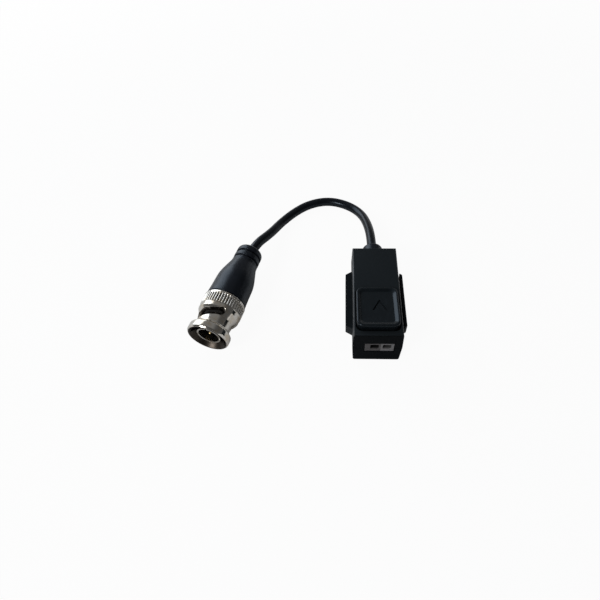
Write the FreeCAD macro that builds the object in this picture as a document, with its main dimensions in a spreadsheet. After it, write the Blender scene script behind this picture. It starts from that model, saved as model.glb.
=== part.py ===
import FreeCAD, Part
import math
import os
from types import SimpleNamespace

import Sketcher
from FreeCAD import Placement, Rotation, Vector

# Passive video balun: a two-part moulded housing with a push-wire terminal at its front,
# a sprung press lever on top, and a short coaxial pigtail that ends in a bayonet plug.
# X is the width, +Y runs from the terminal to the cable, +Z is up.
# The origin is the middle of the housing's base.

DRIVING_DIMENSIONS = {
    # Housing, lengths in millimetres
    "body_length": 37.4,
    "body_width": 16.3,
    "top_width": 15.7,
    "base_width": 15.6,
    "body_height": 15.3,
    "parting_height": 7.7,
    "shell_wall": 1.2,
    "edge_round": 0.5,
    "base_round": 0.8,
    "tongue_thickness": 0.55,
    "tongue_height": 0.7,
    "fit_gap": 0.1,
    # Side rails that hook one housing to the next
    "rail_length": 25.0,
    "rail_centre": 0.3,
    "rail_low": 4.7,
    "rail_high": 9.0,
    "rail_plate": 1.3,
    "rail_groove": 1.15,
    "rail_lip": 1.0,
    "rail_taper": 1.4,
    # Press lever and its hinge, angles in degrees
    "lever_width": 13.8,
    "lever_length": 16.1,
    "lever_height": 3.2,
    "lever_plate": 1.5,
    "lever_wall": 1.2,
    "lever_front": 2.2,
    "lever_corner": 2.2,
    "lever_round": 0.45,
    "lever_tilt": 3.6,
    "lever_gap": 0.25,
    "lever_front_gap": 0.4,
    "lever_back_gap": 0.55,
    "well_clearance": 0.7,
    "pivot_setback": 2.0,
    "pivot_height": 13.0,
    "barrel_radius": 0.8,
    "barrel_length": 10.4,
    "saddle_width": 1.2,
    "saddle_wall": 0.75,
    "saddle_mouth": 1.3,
    "hinge_tongue_width": 7.2,
    "hinge_tongue_thickness": 1.2,
    "dish_border": 0.4,
    "dish_slope": 1.4,
    "dish_depth": 0.65,
    "arrow_centre": 0.7,
    "arrow_width": 4.8,
    "arrow_length": 4.4,
    "arrow_stroke": 0.6,
    "arrow_point": 1.2,
    "arrow_depth": 0.3,
    "arrow_setback": 4.9,
    "pusher_width": 1.6,
    "pusher_length": 1.4,
    "pusher_reach": 1.3,
    "pusher_setback": 13.4,
    # Push-wire terminal
    "terminal_width": 9.65,
    "terminal_centre": 0.675,
    "terminal_split": 1.15,
    "terminal_depth": 10.4,
    "terminal_height": 5.7,
    "nose_low": 5.3,
    "nose_high": 10.1,
    "nose_recess": 0.3,
    "entry_width": 2.8,
    "entry_height": 2.4,
    "entry_low": 6.8,
    "entry_margin": 0.625,
    "entry_round": 0.45,
    "entry_depth": 9.0,
    "chamber_length": 5.2,
    "spring_thickness": 0.25,
    "spring_width": 2.3,
    "spring_gap": 0.15,
    "spring_bend": 1.1,
    "spring_foot": 2.0,
    "spring_slope_share": 0.38,
    "contact_width": 1.8,
    "contact_thickness": 0.3,
    "contact_pin": 0.7,
    "contact_length": 7.0,
    # Circuit board and what it carries
    "board_width": 12.6,
    "board_thickness": 1.2,
    "board_seat": 3.5,
    "board_front": 0.4,
    "board_back": 2.8,
    "post_radius": 1.0,
    "post_inset": 1.3,
    "pin_tail": 0.6,
    "core_radius": 4.5,
    "core_bore": 2.2,
    "core_height": 3.4,
    "core_gap": 2.4,
    "winding_thickness": 0.45,
    "winding_angle": 140.0,
    "arrester_radius": 1.4,
    "arrester_length": 4.4,
    "arrester_cap": 0.75,
    "arrester_gap": 0.6,
    "capacitor_width": 1.6,
    "capacitor_length": 3.2,
    "capacitor_height": 1.6,
    "resistor_width": 1.25,
    "resistor_length": 2.0,
    "resistor_height": 0.6,
    "lead_radius": 0.4,
    "lead_spacing": 1.8,
    "lead_bend": 2.4,
    "lead_inset": 1.2,
    # Cable and its strain relief
    "cable_radius": 1.8,
    "relief_radius": 4.0,
    "relief_end_radius": 3.6,
    "relief_length": 6.5,
    "relief_neck": 2.7,
    "relief_flange": 3.8,
    "relief_flange_width": 0.9,
    "relief_round": 1.5,
    # Plug, distances measured from its mouth along its axis
    "plug_x": -56.7,
    "plug_y": -15.4,
    "plug_height": 7.42,
    "plug_turn": 13.65,
    "flange_radius": 7.3,
    "flange_width": 2.6,
    "flange_bevel": 0.4,
    "flange_slope": 1.1,
    "mouth_radius": 6.5,
    "mouth_depth": 2.2,
    "socket_radius": 4.95,
    "neck_radius": 6.0,
    "neck_end": 6.8,
    "collar_radius": 7.25,
    "collar_slope": 2.4,
    "grip_radius": 7.4,
    "grip_slope": 0.3,
    "grip_bevel": 0.3,
    "grip_start": 10.9,
    "grip_end": 15.45,
    "grip_rim": 0.9,
    "grip_groove": 0.3,
    "grip_groove_width": 0.52,
    "chamber_start": 9.9,
    "chamber_radius": 6.1,
    "slot_width": 2.3,
    "slot_start": 5.0,
    "slot_rise": 3.2,
    "slot_angle": 98.0,
    "slot_place": 70.0,
    "detent_radius": 1.25,
    "entry_groove": 5.6,
    "sleeve_radius": 4.2,
    "sleeve_wall": 0.6,
    "sleeve_recess": 1.0,
    "sleeve_slot": 0.4,
    "sleeve_slot_length": 4.5,
    "shoulder_start": 9.0,
    "shell_flange_radius": 5.8,
    "shell_flange_start": 10.0,
    "shell_flange_width": 1.0,
    "barrel_outer": 4.9,
    "barrel_end": 24.0,
    "support_length": 4.0,
    "pin_radius": 0.68,
    "pin_recess": 1.9,
    "pin_point": 1.0,
    "pin_end": 13.0,
    "insulator_start": 5.5,
    "gasket_width": 0.9,
    "wave_height": 0.5,
    "wave_thickness": 0.3,
    "nut_float": 0.3,
    "washer_thickness": 0.4,
    "washer_bore_gap": 0.3,
    "washer_rim_gap": 0.2,
    "ring_thickness": 0.8,
    "core_wire_radius": 1.1,
    "ferrule_radius": 2.5,
    "ferrule_wall": 0.35,
    "boot_start": 15.75,
    "boot_radius": 7.0,
    "boot_shoulder": 25.6,
    "boot_neck": 4.9,
    "boot_neck_start": 33.0,
    "boot_end": 40.5,
    "boot_round": 1.4,
    "boot_shoulder_round": 9.0,
    "boot_neck_round": 5.0,
    "boot_groove_width": 0.7,
    "boot_groove_depth": 0.5,
    "boot_groove_flare": 0.15,
    "boot_groove_first": 34.3,
    "boot_groove_second": 37.0,
}

KNURL_COUNT = 48
SLEEVE_SLOTS = 4

# How far one slab runs into the next so that they join, and how far a cut runs past a surface
OVERLAP = 0.5

document = FreeCAD.newDocument("VideoBalun")
sheet = document.addObject("Spreadsheet::Sheet", "Sizes")
for row, (alias, number) in enumerate(DRIVING_DIMENSIONS.items(), start=1):
    sheet.set(f"A{row}", alias)
    sheet.set(f"B{row}", str(number))
    sheet.setAlias(f"B{row}", alias)
document.recompute()


class Size:
    """A number with the sheet expression that it stands for, so that sums of sizes stay parametric."""

    def __init__(self, value, text):
        self.value = value
        self.text = text

    def joined(self, other, sign, value):
        return Size(value, f"({self.text} {sign} {other.text})")

    def __add__(self, other):
        other = as_size(other)
        return self.joined(other, "+", self.value + other.value)

    def __sub__(self, other):
        other = as_size(other)
        return self.joined(other, "-", self.value - other.value)

    def __mul__(self, other):
        other = as_size(other)
        return self.joined(other, "*", self.value * other.value)

    def __truediv__(self, other):
        other = as_size(other)
        return self.joined(other, "/", self.value / other.value)

    def __neg__(self):
        return Size(-self.value, f"(-1 * {self.text})")

    def __radd__(self, other):
        return as_size(other) + self

    def __rsub__(self, other):
        return as_size(other) - self

    def __rmul__(self, other):
        return as_size(other) * self


def as_size(item):
    if isinstance(item, Size):
        return item
    return Size(float(item), repr(float(item)))


size = SimpleNamespace(**{alias: Size(sheet.get(alias), f"Sizes.{alias}") for alias in DRIVING_DIMENSIONS})

# Places that follow from the driving dimensions
front = -size.body_length / 2
back = size.body_length / 2
inner_front = front + size.shell_wall
inner_back = back - size.shell_wall
half_width = size.body_width / 2
inner_half = half_width - size.shell_wall
ceiling = size.body_height - size.shell_wall
inner_half_top = size.top_width / 2 - size.shell_wall
board_top = size.board_seat + size.board_thickness
pivot_y = front + size.lever_front + size.lever_length + size.pivot_setback
well_half = size.lever_width / 2 + size.lever_gap
well_front = front + size.lever_front - size.lever_front_gap
well_back = pivot_y - size.pivot_setback + size.lever_back_gap
well_floor = size.nose_high + size.well_clearance
board_front_edge = inner_front + size.board_front
board_back_edge = inner_back - size.board_back
post_x = size.board_width / 2 - size.post_inset
terminal_left = size.terminal_centre - size.terminal_width / 2
terminal_right = size.terminal_centre + size.terminal_width / 2
terminal_back = inner_front + size.fit_gap + size.terminal_depth
nose_front = front + size.nose_recess
entry_left = size.terminal_split - size.entry_margin - size.entry_width / 2
entry_right = size.terminal_split + size.entry_margin + size.entry_width / 2
chamber_front = nose_front + size.entry_depth - size.chamber_length
chamber_back = nose_front + size.entry_depth
core_y = terminal_back + size.core_gap + size.core_radius + size.winding_thickness
arrester_y = core_y + size.core_radius + size.winding_thickness + size.arrester_gap + size.arrester_radius
lead_drop = board_back_edge - size.lead_inset
relief_seat = (0, size.parting_height, size.relief_neck + size.fit_gap)
tongue_top = size.parting_height + size.tongue_height
shell_flange_end = size.shell_flange_start + size.shell_flange_width
washer_start = shell_flange_end + size.wave_height + size.wave_thickness + size.nut_float + size.fit_gap
washer_end = washer_start + size.washer_thickness

PLANES = {"x": ("YZ_Plane", 1), "y": ("XZ_Plane", -1), "z": ("XY_Plane", 1)}


# Helpers that draw and build

def new_body(label):
    return document.addObject("PartDesign::Body", label)


def add_sketch(body, name, axis, height):
    """Sketch square to an axis of the body, at a height that stays tied to the sheet."""
    role, sense = PLANES[axis]
    sketch = body.newObject("Sketcher::SketchObject", name)
    plane = next(item for item in body.Origin.OriginFeatures if item.Role == role)
    sketch.AttachmentSupport = [(plane, "")]
    sketch.MapMode = "FlatFace"
    sketch.setExpression("AttachmentOffset.Base.z", (as_size(height) * sense).text)
    return sketch


def add_turned_sketch(body, name, origin, rotation):
    """Sketch on the body's XY plane that is moved and turned from there."""
    sketch = add_sketch(body, name, "z", origin[2])
    sketch.AttachmentOffset = Placement(Vector(0, 0, 0), rotation)
    for letter, item in zip("xyz", origin):
        sketch.setExpression(f"AttachmentOffset.Base.{letter}", as_size(item).text)
    return sketch


def pin_point(sketch, constraints, geometry, place, x, y):
    """Queue the two distances that tie a point to the sketch's origin."""
    for kind, item, axis_line in (("DistanceX", x, -2), ("DistanceY", y, -1)):
        if item.text == "0.0":
            constraints.append((Sketcher.Constraint("PointOnObject", geometry, place, axis_line), None))
        else:
            constraint = Sketcher.Constraint(kind, -1, 1, geometry, place, item.value)
            constraints.append((constraint, item.text))


def apply_constraints(sketch, constraints):
    first = sketch.ConstraintCount
    sketch.addConstraint([constraint for constraint, text in constraints])
    for index, (constraint, text) in enumerate(constraints, start=first):
        if text:
            sketch.setExpression(f"Constraints[{index}]", text)


def draw_outline(sketch, corners):
    """Closed outline of straight lines through corners tied to the sheet."""
    points = [(as_size(x), as_size(y)) for x, y in corners]
    count = len(points)
    first = sketch.GeometryCount
    vectors = [Vector(x.value, y.value, 0) for x, y in points]
    for index in range(count):
        sketch.addGeometry(Part.LineSegment(vectors[index], vectors[(index + 1) % count]), False)
    constraints = []
    for index, (x, y) in enumerate(points):
        following = first + (index + 1) % count
        constraints.append((Sketcher.Constraint("Coincident", first + index, 2, following, 1), None))
        pin_point(sketch, constraints, first + index, 1, x, y)
    apply_constraints(sketch, constraints)


def draw_circle(sketch, x, y, radius):
    x, y, radius = as_size(x), as_size(y), as_size(radius)
    circle = Part.Circle(Vector(x.value, y.value, 0), Vector(0, 0, 1), radius.value)
    geometry = sketch.addGeometry(circle, False)
    constraints = [(Sketcher.Constraint("Radius", geometry, radius.value), radius.text)]
    pin_point(sketch, constraints, geometry, 3, x, y)
    apply_constraints(sketch, constraints)


def rectangle(left, right, low, high):
    return [(left, low), (right, low), (right, high), (left, high)]


def draw(sketch, outline):
    """An outline is a list of corners, or a circle given as x, y and radius."""
    if isinstance(outline, tuple):
        draw_circle(sketch, *outline)
    else:
        draw_outline(sketch, outline)


def pad(body, name, axis, low, high, *outlines):
    """Add the outlines as a slab between two heights along an axis."""
    low, high = as_size(low), as_size(high)
    base = low if PLANES[axis][1] > 0 else high
    sketch = add_sketch(body, name + "Sketch", axis, base)
    for outline in outlines:
        draw(sketch, outline)
    feature = body.newObject("PartDesign::Pad", name)
    feature.Profile = sketch
    feature.setExpression("Length", (high - low).text)
    return feature


def pocket(body, name, axis, low, high, *outlines):
    """Remove the outlines between two heights along an axis."""
    low, high = as_size(low), as_size(high)
    base = high if PLANES[axis][1] > 0 else low
    sketch = add_sketch(body, name + "Sketch", axis, base)
    for outline in outlines:
        draw(sketch, outline)
    feature = body.newObject("PartDesign::Pocket", name)
    feature.Profile = sketch
    feature.setExpression("Length", (high - low).text)
    return feature


def turn(body, name, axis, *outlines, angle=360.0, kind="PartDesign::Revolution"):
    """Revolve outlines drawn as radius and distance about the body's Y axis or Z axis."""
    sketch = add_sketch(body, name + "Sketch", "z" if axis == "y" else "y", 0)
    for outline in outlines:
        draw(sketch, outline)
    feature = body.newObject(kind, name)
    feature.Profile = sketch
    feature.ReferenceAxis = (sketch, ["V_Axis"])
    feature.setExpression("Angle", as_size(angle).text)
    feature.Midplane = angle != 360.0
    return feature


def edge_names(shape, wanted):
    """Names of the edges whose midpoint and direction a test accepts."""
    names = []
    for index, edge in enumerate(shape.Edges, start=1):
        middle = edge.valueAt((edge.FirstParameter + edge.LastParameter) / 2)
        if wanted(edge, middle):
            names.append(f"Edge{index}")
    return names


def along(edge, axis):
    """True for a straight edge parallel to an axis."""
    if edge.Curve.TypeId != "Part::GeomLine":
        return False
    direction = edge.tangentAt(edge.FirstParameter)
    return abs(getattr(direction, axis)) > 0.999


def near(a, b):
    return abs(a - as_size(b).value) < 0.01


def soften(body, name, radius, wanted):
    """Round the chosen edges of what the body has so far."""
    document.recompute()
    base = body.Tip
    names = edge_names(base.Shape, wanted)
    if not names:
        raise RuntimeError(f"{body.Label}: no edge to soften for {name}")
    feature = body.newObject("PartDesign::Fillet", name)
    feature.Base = (base, names)
    feature.setExpression("Radius", as_size(radius).text)
    return feature


def repeat(body, name, features, axis, count):
    """Repeat features evenly around one of the body's own axes."""
    pattern = body.newObject("PartDesign::PolarPattern", name)
    pattern.Originals = features
    line = next(item for item in body.Origin.OriginFeatures if item.Role == axis)
    pattern.Axis = (line, [""])
    pattern.Angle = 360
    pattern.Occurrences = count
    body.Tip = pattern
    return pattern


def turned(axis, angle):
    return Rotation(axis, as_size(angle).value)


def place(body, x, y, z, rotation=Rotation()):
    """Put a body where the sheet says, with its rotation."""
    body.Placement = Placement(Vector(0, 0, 0), rotation)
    for name, item in (("x", x), ("y", y), ("z", z)):
        body.setExpression(f"Placement.Base.{name}", as_size(item).text)


def on_plug(body, spin=0):
    """Set a piece that was drawn about its own Y axis on the axis of the plug."""
    rotation = turned(Vector(0, 0, 1), -size.plug_turn) * turned(Vector(0, 1, 0), spin)
    place(body, size.plug_x, size.plug_y, size.plug_height, rotation)


def add_shape(label, shape):
    """A piece whose form is a swept or bent solid made from the sheet's sizes."""
    feature = document.addObject("Part::Feature", label)
    feature.Shape = shape
    return feature


# Housing

def rail_plan(inner, outer):
    """Plan of a rail between two distances from the housing's side, with tapered ends."""
    reach = size.rail_groove + size.rail_lip
    start = size.rail_centre - size.rail_length / 2
    end = size.rail_centre + size.rail_length / 2
    inner_taper = size.rail_taper * inner / reach
    outer_taper = size.rail_taper * outer / reach
    near_side = half_width + inner
    far_side = half_width + outer
    return [
        (near_side, start + inner_taper),
        (far_side, start + outer_taper),
        (far_side, end - outer_taper),
        (near_side, end - inner_taper),
    ]


def mirrored(corners):
    return [(-x, y) for x, y in corners]


def make_lower_shell():
    """Tray with a tongue round its rim, four board posts and the right-hand rail."""
    body = new_body("lower_shell")
    base_half = size.base_width / 2
    outline = [(-base_half, 0), (base_half, 0),
               (half_width, size.parting_height), (-half_width, size.parting_height)]
    pad(body, "Block", "y", front, back, outline)
    soften(body, "BaseRound", size.base_round, lambda edge, middle: along(edge, "y") and near(middle.z, 0))
    pad(body, "Tongue", "z", size.parting_height, tongue_top,
        rectangle(-inner_half - size.tongue_thickness, inner_half + size.tongue_thickness,
                  inner_front - size.tongue_thickness, inner_back + size.tongue_thickness))
    pocket(body, "Cavity", "z", size.shell_wall, tongue_top,
           rectangle(-inner_half, inner_half, inner_front, inner_back))
    post_front = board_front_edge + size.post_inset
    post_back = board_back_edge - size.post_inset
    posts = [(x, y, size.post_radius) for x in (-post_x, post_x) for y in (post_front, post_back)]
    pad(body, "Posts", "z", size.shell_wall / 2, size.board_seat, *posts)
    pad(body, "RailPlate", "z", size.rail_low, size.rail_low + size.rail_plate,
        rail_plan(-size.shell_wall / 2, size.rail_groove + size.rail_lip))
    pad(body, "RailLip", "z", size.rail_low, size.rail_high,
        rail_plan(size.rail_groove, size.rail_groove + size.rail_lip))
    pocket(body, "TerminalWindow", "y", front, inner_front,
           rectangle(terminal_left - size.fit_gap, terminal_right + size.fit_gap,
                     size.nose_low - size.fit_gap, tongue_top))
    pocket(body, "ReliefSeat", "y", inner_back, back, relief_seat)


def make_upper_shell():
    """Cover with the lever well, two posts that hold the board down, two hinge saddles and a rail."""
    body = new_body("upper_shell")
    top_half = size.top_width / 2
    outline = [(-half_width, size.parting_height), (half_width, size.parting_height),
               (top_half, size.body_height), (-top_half, size.body_height)]
    pad(body, "Block", "y", front, back, outline)
    soften(body, "TopRound", size.edge_round, lambda edge, middle: near(middle.z, size.body_height))
    cavity = [(-inner_half, size.parting_height), (inner_half, size.parting_height),
              (inner_half_top, ceiling), (-inner_half_top, ceiling)]
    pocket(body, "Cavity", "y", inner_front, inner_back, cavity)
    groove_half = inner_half + size.tongue_thickness + size.fit_gap
    pocket(body, "RimGroove", "z", size.parting_height, tongue_top + size.fit_gap,
           rectangle(-groove_half, groove_half, inner_front - size.tongue_thickness - size.fit_gap,
                     inner_back + size.tongue_thickness + size.fit_gap))
    pocket(body, "LeverWell", "z", well_floor, size.body_height,
           rectangle(-well_half, well_half, well_front, well_back))
    soften(body, "WellCorners", size.lever_corner,
           lambda edge, middle: along(edge, "z") and near(abs(middle.x), well_half))
    posts = [(x, board_back_edge - size.post_inset, size.post_radius) for x in (-post_x, post_x)]
    pad(body, "BoardHoldDowns", "z", board_top + size.fit_gap, ceiling + size.shell_wall / 2, *posts)
    bore = size.barrel_radius + size.fit_gap
    saddle_outer = size.barrel_length / 2 - size.fit_gap
    saddle_inner = saddle_outer - size.saddle_width
    saddle_low = size.pivot_height - size.saddle_wall
    saddle_back = pivot_y + bore + size.saddle_wall
    saddle_plan = [rectangle(side * saddle_inner, side * saddle_outer, well_back, saddle_back)
                   for side in (-1, 1)]
    pad(body, "Saddles", "z", saddle_low, ceiling + size.shell_wall / 2, *saddle_plan)
    pocket(body, "SaddleBore", "x", -saddle_outer, saddle_outer, (pivot_y, size.pivot_height, bore))
    half_mouth = size.saddle_mouth / 2
    pocket(body, "SaddleMouth", "x", -saddle_outer, saddle_outer,
           rectangle(pivot_y - half_mouth, pivot_y + half_mouth, saddle_low, size.pivot_height))
    pad(body, "RailPlate", "z", size.rail_high - size.rail_plate, size.rail_high,
        mirrored(rail_plan(-size.shell_wall / 2, size.rail_groove + size.rail_lip)))
    pad(body, "RailLip", "z", size.rail_low, size.rail_high,
        mirrored(rail_plan(size.rail_groove, size.rail_groove + size.rail_lip)))
    pocket(body, "TerminalWindow", "y", front, inner_front,
           rectangle(terminal_left - size.fit_gap, terminal_right + size.fit_gap,
                     size.parting_height, size.nose_high + size.fit_gap))
    pocket(body, "ReliefSeat", "y", inner_back, back, relief_seat)


# Press lever, drawn about its hinge axis and set at its rest angle

def make_press_lever():
    """Hollow cap with a dished face, two pushers and the hinge barrel behind it."""
    body = new_body("press_lever")
    half = size.lever_width / 2
    rear = -size.pivot_setback
    nose = rear - size.lever_length
    top = size.lever_height
    pad(body, "Cap", "z", 0, top, rectangle(-half, half, nose, rear))
    soften(body, "PlanCorners", size.lever_corner, lambda edge, middle: along(edge, "z"))
    soften(body, "TopEdge", size.lever_round, lambda edge, middle: near(middle.z, top))
    border = size.dish_border
    inset = size.dish_border + size.dish_slope
    dish = body.newObject("PartDesign::SubtractiveLoft", "Dish")
    rim = add_sketch(body, "DishRim", "z", top)
    draw_outline(rim, rectangle(-half + border, half - border, nose + border, rear - border))
    floor = add_sketch(body, "DishFloor", "z", top - size.dish_depth)
    draw_outline(floor, rectangle(-half + inset, half - inset, nose + inset, rear - inset))
    dish.Profile = rim
    dish.Sections = [floor]
    dish.Ruled = True
    body.Tip = dish
    apex = rear - size.arrow_setback
    tail = apex - size.arrow_length
    middle = size.arrow_centre
    spread = size.arrow_width / 2
    stroke = size.arrow_stroke
    arrow = [(middle, apex), (middle + spread, tail), (middle + spread - stroke, tail),
             (middle, apex - size.arrow_point), (middle - spread + stroke, tail), (middle - spread, tail)]
    dish_floor = top - size.dish_depth
    pocket(body, "Arrow", "z", dish_floor - size.arrow_depth, dish_floor, arrow)
    wall = size.lever_wall
    pocket(body, "Hollow", "z", 0, top - size.lever_plate,
           rectangle(-half + wall, half - wall, nose + wall, rear - wall))
    pushers = [rectangle(centre - size.pusher_width / 2, centre + size.pusher_width / 2,
                         -size.pusher_setback - size.pusher_length / 2,
                         -size.pusher_setback + size.pusher_length / 2)
               for centre in (entry_left, entry_right)]
    pad(body, "Pushers", "z", -size.pusher_reach, top - size.lever_plate + OVERLAP, *pushers)
    half_tongue = size.hinge_tongue_width / 2
    pad(body, "HingeTongue", "z", -size.hinge_tongue_thickness / 2, size.hinge_tongue_thickness / 2,
        rectangle(-half_tongue, half_tongue, rear - OVERLAP, 0))
    pad(body, "HingeBarrel", "x", -size.barrel_length / 2, size.barrel_length / 2, (0, 0, size.barrel_radius))
    place(body, 0, pivot_y, size.pivot_height, turned(Vector(1, 0, 0), -size.lever_tilt))


# Push-wire terminal: one insulating module a pole, each with a contact and a clamp spring

def make_terminal_pole(label, left, right, entry):
    body = new_body(label)
    entry_half = size.entry_width / 2
    entry_high = size.entry_low + size.entry_height
    body_front = inner_front + size.fit_gap
    top = board_top + size.terminal_height
    pad(body, "Module", "z", board_top, top, rectangle(left, right, body_front, terminal_back))
    pad(body, "Nose", "z", size.nose_low, size.nose_high,
        rectangle(left, right, nose_front, body_front + OVERLAP))
    pocket(body, "WireEntry", "y", nose_front, chamber_back,
           rectangle(entry - entry_half, entry + entry_half, size.entry_low, entry_high))
    soften(body, "EntryCorners", size.entry_round,
           lambda edge, middle: along(edge, "y") and abs(middle.x - entry.value) < entry_half.value + 0.01
           and size.entry_low.value - 0.01 < middle.z < entry_high.value + 0.01)
    pocket(body, "SpringChamber", "z", size.entry_low, top,
           rectangle(entry - entry_half, entry + entry_half, chamber_front, chamber_back))
    pin_half = size.contact_pin / 2 + size.fit_gap
    pin_centre = chamber_back - size.contact_pin
    pocket(body, "PinHole", "z", board_top, size.entry_low,
           rectangle(entry - pin_half, entry + pin_half, pin_centre - pin_half, pin_centre + pin_half))


def make_contact(label, entry):
    """Strip on the floor of the wire entry with a solder pin through the board."""
    body = new_body(label)
    half = size.contact_width / 2
    pin_half = size.contact_pin / 2
    pin_centre = chamber_back - size.contact_pin
    strip_front = chamber_back - size.contact_length
    pad(body, "Strip", "z", size.entry_low, size.entry_low + size.contact_thickness,
        rectangle(entry - half, entry + half, strip_front, chamber_back - size.fit_gap))
    pad(body, "SolderPin", "z", size.board_seat - size.pin_tail, size.entry_low,
        rectangle(entry - pin_half, entry + pin_half, pin_centre - pin_half, pin_centre + pin_half))


def make_clamp_spring(label, entry):
    """Bent strip that stands on the contact, loops up to the lever's pusher and bears on the wire."""
    half_thick = size.spring_thickness.value / 2
    foot = size.entry_low.value + size.contact_thickness.value + half_thick
    tilt = math.radians(size.lever_tilt.value)
    pusher_rear = size.pusher_setback.value - size.pusher_length.value / 2
    pusher_rise = pusher_rear * math.sin(tilt) - size.pusher_reach.value * math.cos(tilt)
    pusher_low = size.pivot_height.value + pusher_rise
    crest = pusher_low - size.spring_gap.value - half_thick
    rear = chamber_back.value - size.fit_gap.value - half_thick
    nose = chamber_front.value + size.fit_gap.value + half_thick
    length = rear - nose
    bend = size.spring_bend.value
    line = [(rear - size.spring_foot.value, foot), (rear, foot), (rear, crest - bend), (rear - bend, crest),
            (nose + length * size.spring_slope_share.value, crest), (nose, foot)]
    start = entry.value - size.spring_width.value / 2
    wire = Part.makePolygon([Vector(start, y, z) for y, z in line])
    strip = wire.makeOffset2D(half_thick, join=0, fill=False, openResult=False, intersection=False)
    add_shape(label, Part.Face(strip).extrude(Vector(size.spring_width.value, 0, 0)))


# Circuit board and components

def make_circuit_board():
    body = new_body("circuit_board")
    half = size.board_width / 2
    pad(body, "Board", "z", size.board_seat, board_top,
        rectangle(-half, half, board_front_edge, board_back_edge))
    hole = size.contact_pin / 2 + size.fit_gap
    pin_centre = chamber_back - size.contact_pin
    slots = [rectangle(entry - hole, entry + hole, pin_centre - hole, pin_centre + hole)
             for entry in (entry_left, entry_right)]
    pocket(body, "PinSlots", "z", size.board_seat, board_top, *slots)
    holes = [(side * size.lead_spacing / 2, lead_drop, size.lead_radius + size.fit_gap) for side in (-1, 1)]
    pocket(body, "LeadHoles", "z", size.board_seat, board_top, *holes)


def make_choke():
    """Ferrite ring that lies on the board, with one winding on each half."""
    lift = board_top + size.winding_thickness
    core = new_body("choke_core")
    turn(core, "Ring", "z", rectangle(size.core_bore, size.core_radius, 0, size.core_height))
    place(core, 0, core_y, lift)
    gap = size.fit_gap / 2
    thick = size.winding_thickness
    for label, angle in (("choke_winding_primary", 0), ("choke_winding_secondary", 180)):
        winding = new_body(label)
        turn(winding, "Wrap", "z",
             rectangle(size.core_bore - thick, size.core_radius + thick, -thick, size.core_height + thick),
             rectangle(size.core_bore - gap, size.core_radius + gap, -gap, size.core_height + gap),
             angle=size.winding_angle)
        place(winding, 0, core_y, lift, turned(Vector(0, 0, 1), angle))


def make_components():
    """Surge arrester, two coupling capacitors and a termination resistor on the board."""
    arrester = new_body("surge_arrester")
    half = size.arrester_length / 2
    cap = size.arrester_cap
    pad(arrester, "Tube", "x", -half, half, (0, 0, size.arrester_radius - size.fit_gap))
    pad(arrester, "LeftCap", "x", -half, -half + cap, (0, 0, size.arrester_radius))
    pad(arrester, "RightCap", "x", half - cap, half, (0, 0, size.arrester_radius))
    place(arrester, 0, arrester_y, board_top + size.arrester_radius)
    for label, side in (("coupling_capacitor_left", -1), ("coupling_capacitor_right", 1)):
        capacitor = new_body(label)
        wide = size.capacitor_width / 2
        long = size.capacitor_length / 2
        pad(capacitor, "Block", "z", 0, size.capacitor_height, rectangle(-wide, wide, -long, long))
        centre = half + size.fit_gap + wide
        place(capacitor, side * centre, arrester_y, board_top)
    resistor = new_body("termination_resistor")
    wide = size.resistor_width / 2
    long = size.resistor_length / 2
    pad(resistor, "Block", "z", 0, size.resistor_height, rectangle(-long, long, -wide, wide))
    place(resistor, 0, terminal_back + size.resistor_width, board_top)


def make_leads():
    """Signal and screen leads that turn down from the end of the cable into the board."""
    start = inner_back.value
    height = size.parting_height.value
    bend = size.lead_bend.value
    drop = lead_drop.value
    corner = drop + bend
    tail = size.board_seat.value - size.pin_tail.value
    shift = bend * (1 - math.sqrt(0.5))
    for label, side in (("signal_lead", -1), ("screen_lead", 1)):
        x = side * size.lead_spacing.value / 2
        path = Part.Wire([
            Part.LineSegment(Vector(x, start, height), Vector(x, corner, height)).toShape(),
            Part.Arc(Vector(x, corner, height), Vector(x, drop + shift, height - shift),
                     Vector(x, drop, height - bend)).toShape(),
            Part.LineSegment(Vector(x, drop, height - bend), Vector(x, drop, tail)).toShape(),
        ])
        add_shape(label, swept_round(path, size.lead_radius.value))


# Cable

CABLE_POINTS = [
    (0.0, inner_back.value, size.parting_height.value),
    (0.0, 30.0, 7.7),
    (-1.0, 42.0, 5.0),
    (-3.6, 52.0, 2.2),
    (-9.6, 57.8, 1.8),
    (-17.7, 60.5, 1.8),
    (-26.0, 58.4, 1.8),
    (-32.6, 53.0, 1.8),
    (-37.9, 45.2, 2.6),
    (-40.8, 36.9, 5.0),
    (-46.316, 27.357, 7.42),
    (-48.393, 18.806, 7.42),
]
BEND_SHARE = 0.45


def swept_round(path, radius):
    """Solid of a round section carried along a path, square to its start."""
    first = path.Edges[0]
    start = first.valueAt(first.FirstParameter)
    direction = first.tangentAt(first.FirstParameter)
    profile = Part.Wire(Part.Circle(start, direction, radius).toShape())
    return path.makePipeShell([profile], True, True)


def cable_path(points):
    """Straight runs joined by tangent arcs, each as large as its two runs allow."""
    corners = [Vector(*point) for point in points]
    edges = []
    last = corners[0]
    for before, corner, after in zip(corners, corners[1:], corners[2:]):
        arriving = corner - before
        leaving = after - corner
        shorter = min(arriving.Length, leaving.Length)
        half_turn = arriving.getAngle(leaving) / 2
        tangent = BEND_SHARE * shorter
        radius = tangent / math.tan(half_turn)
        print(f"Cable bend: turn {math.degrees(2 * half_turn):.1f} degrees, radius {radius:.1f} mm")
        start = corner - arriving.normalize() * tangent
        end = corner + leaving.normalize() * tangent
        inward = (start + end) * 0.5 - corner
        middle = corner + inward.normalize() * (radius / math.cos(half_turn) - radius)
        edges.append(Part.LineSegment(last, start).toShape())
        edges.append(Part.Arc(start, middle, end).toShape())
        last = end
    edges.append(Part.LineSegment(last, corners[-1]).toShape())
    return Part.Wire(edges)


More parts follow.
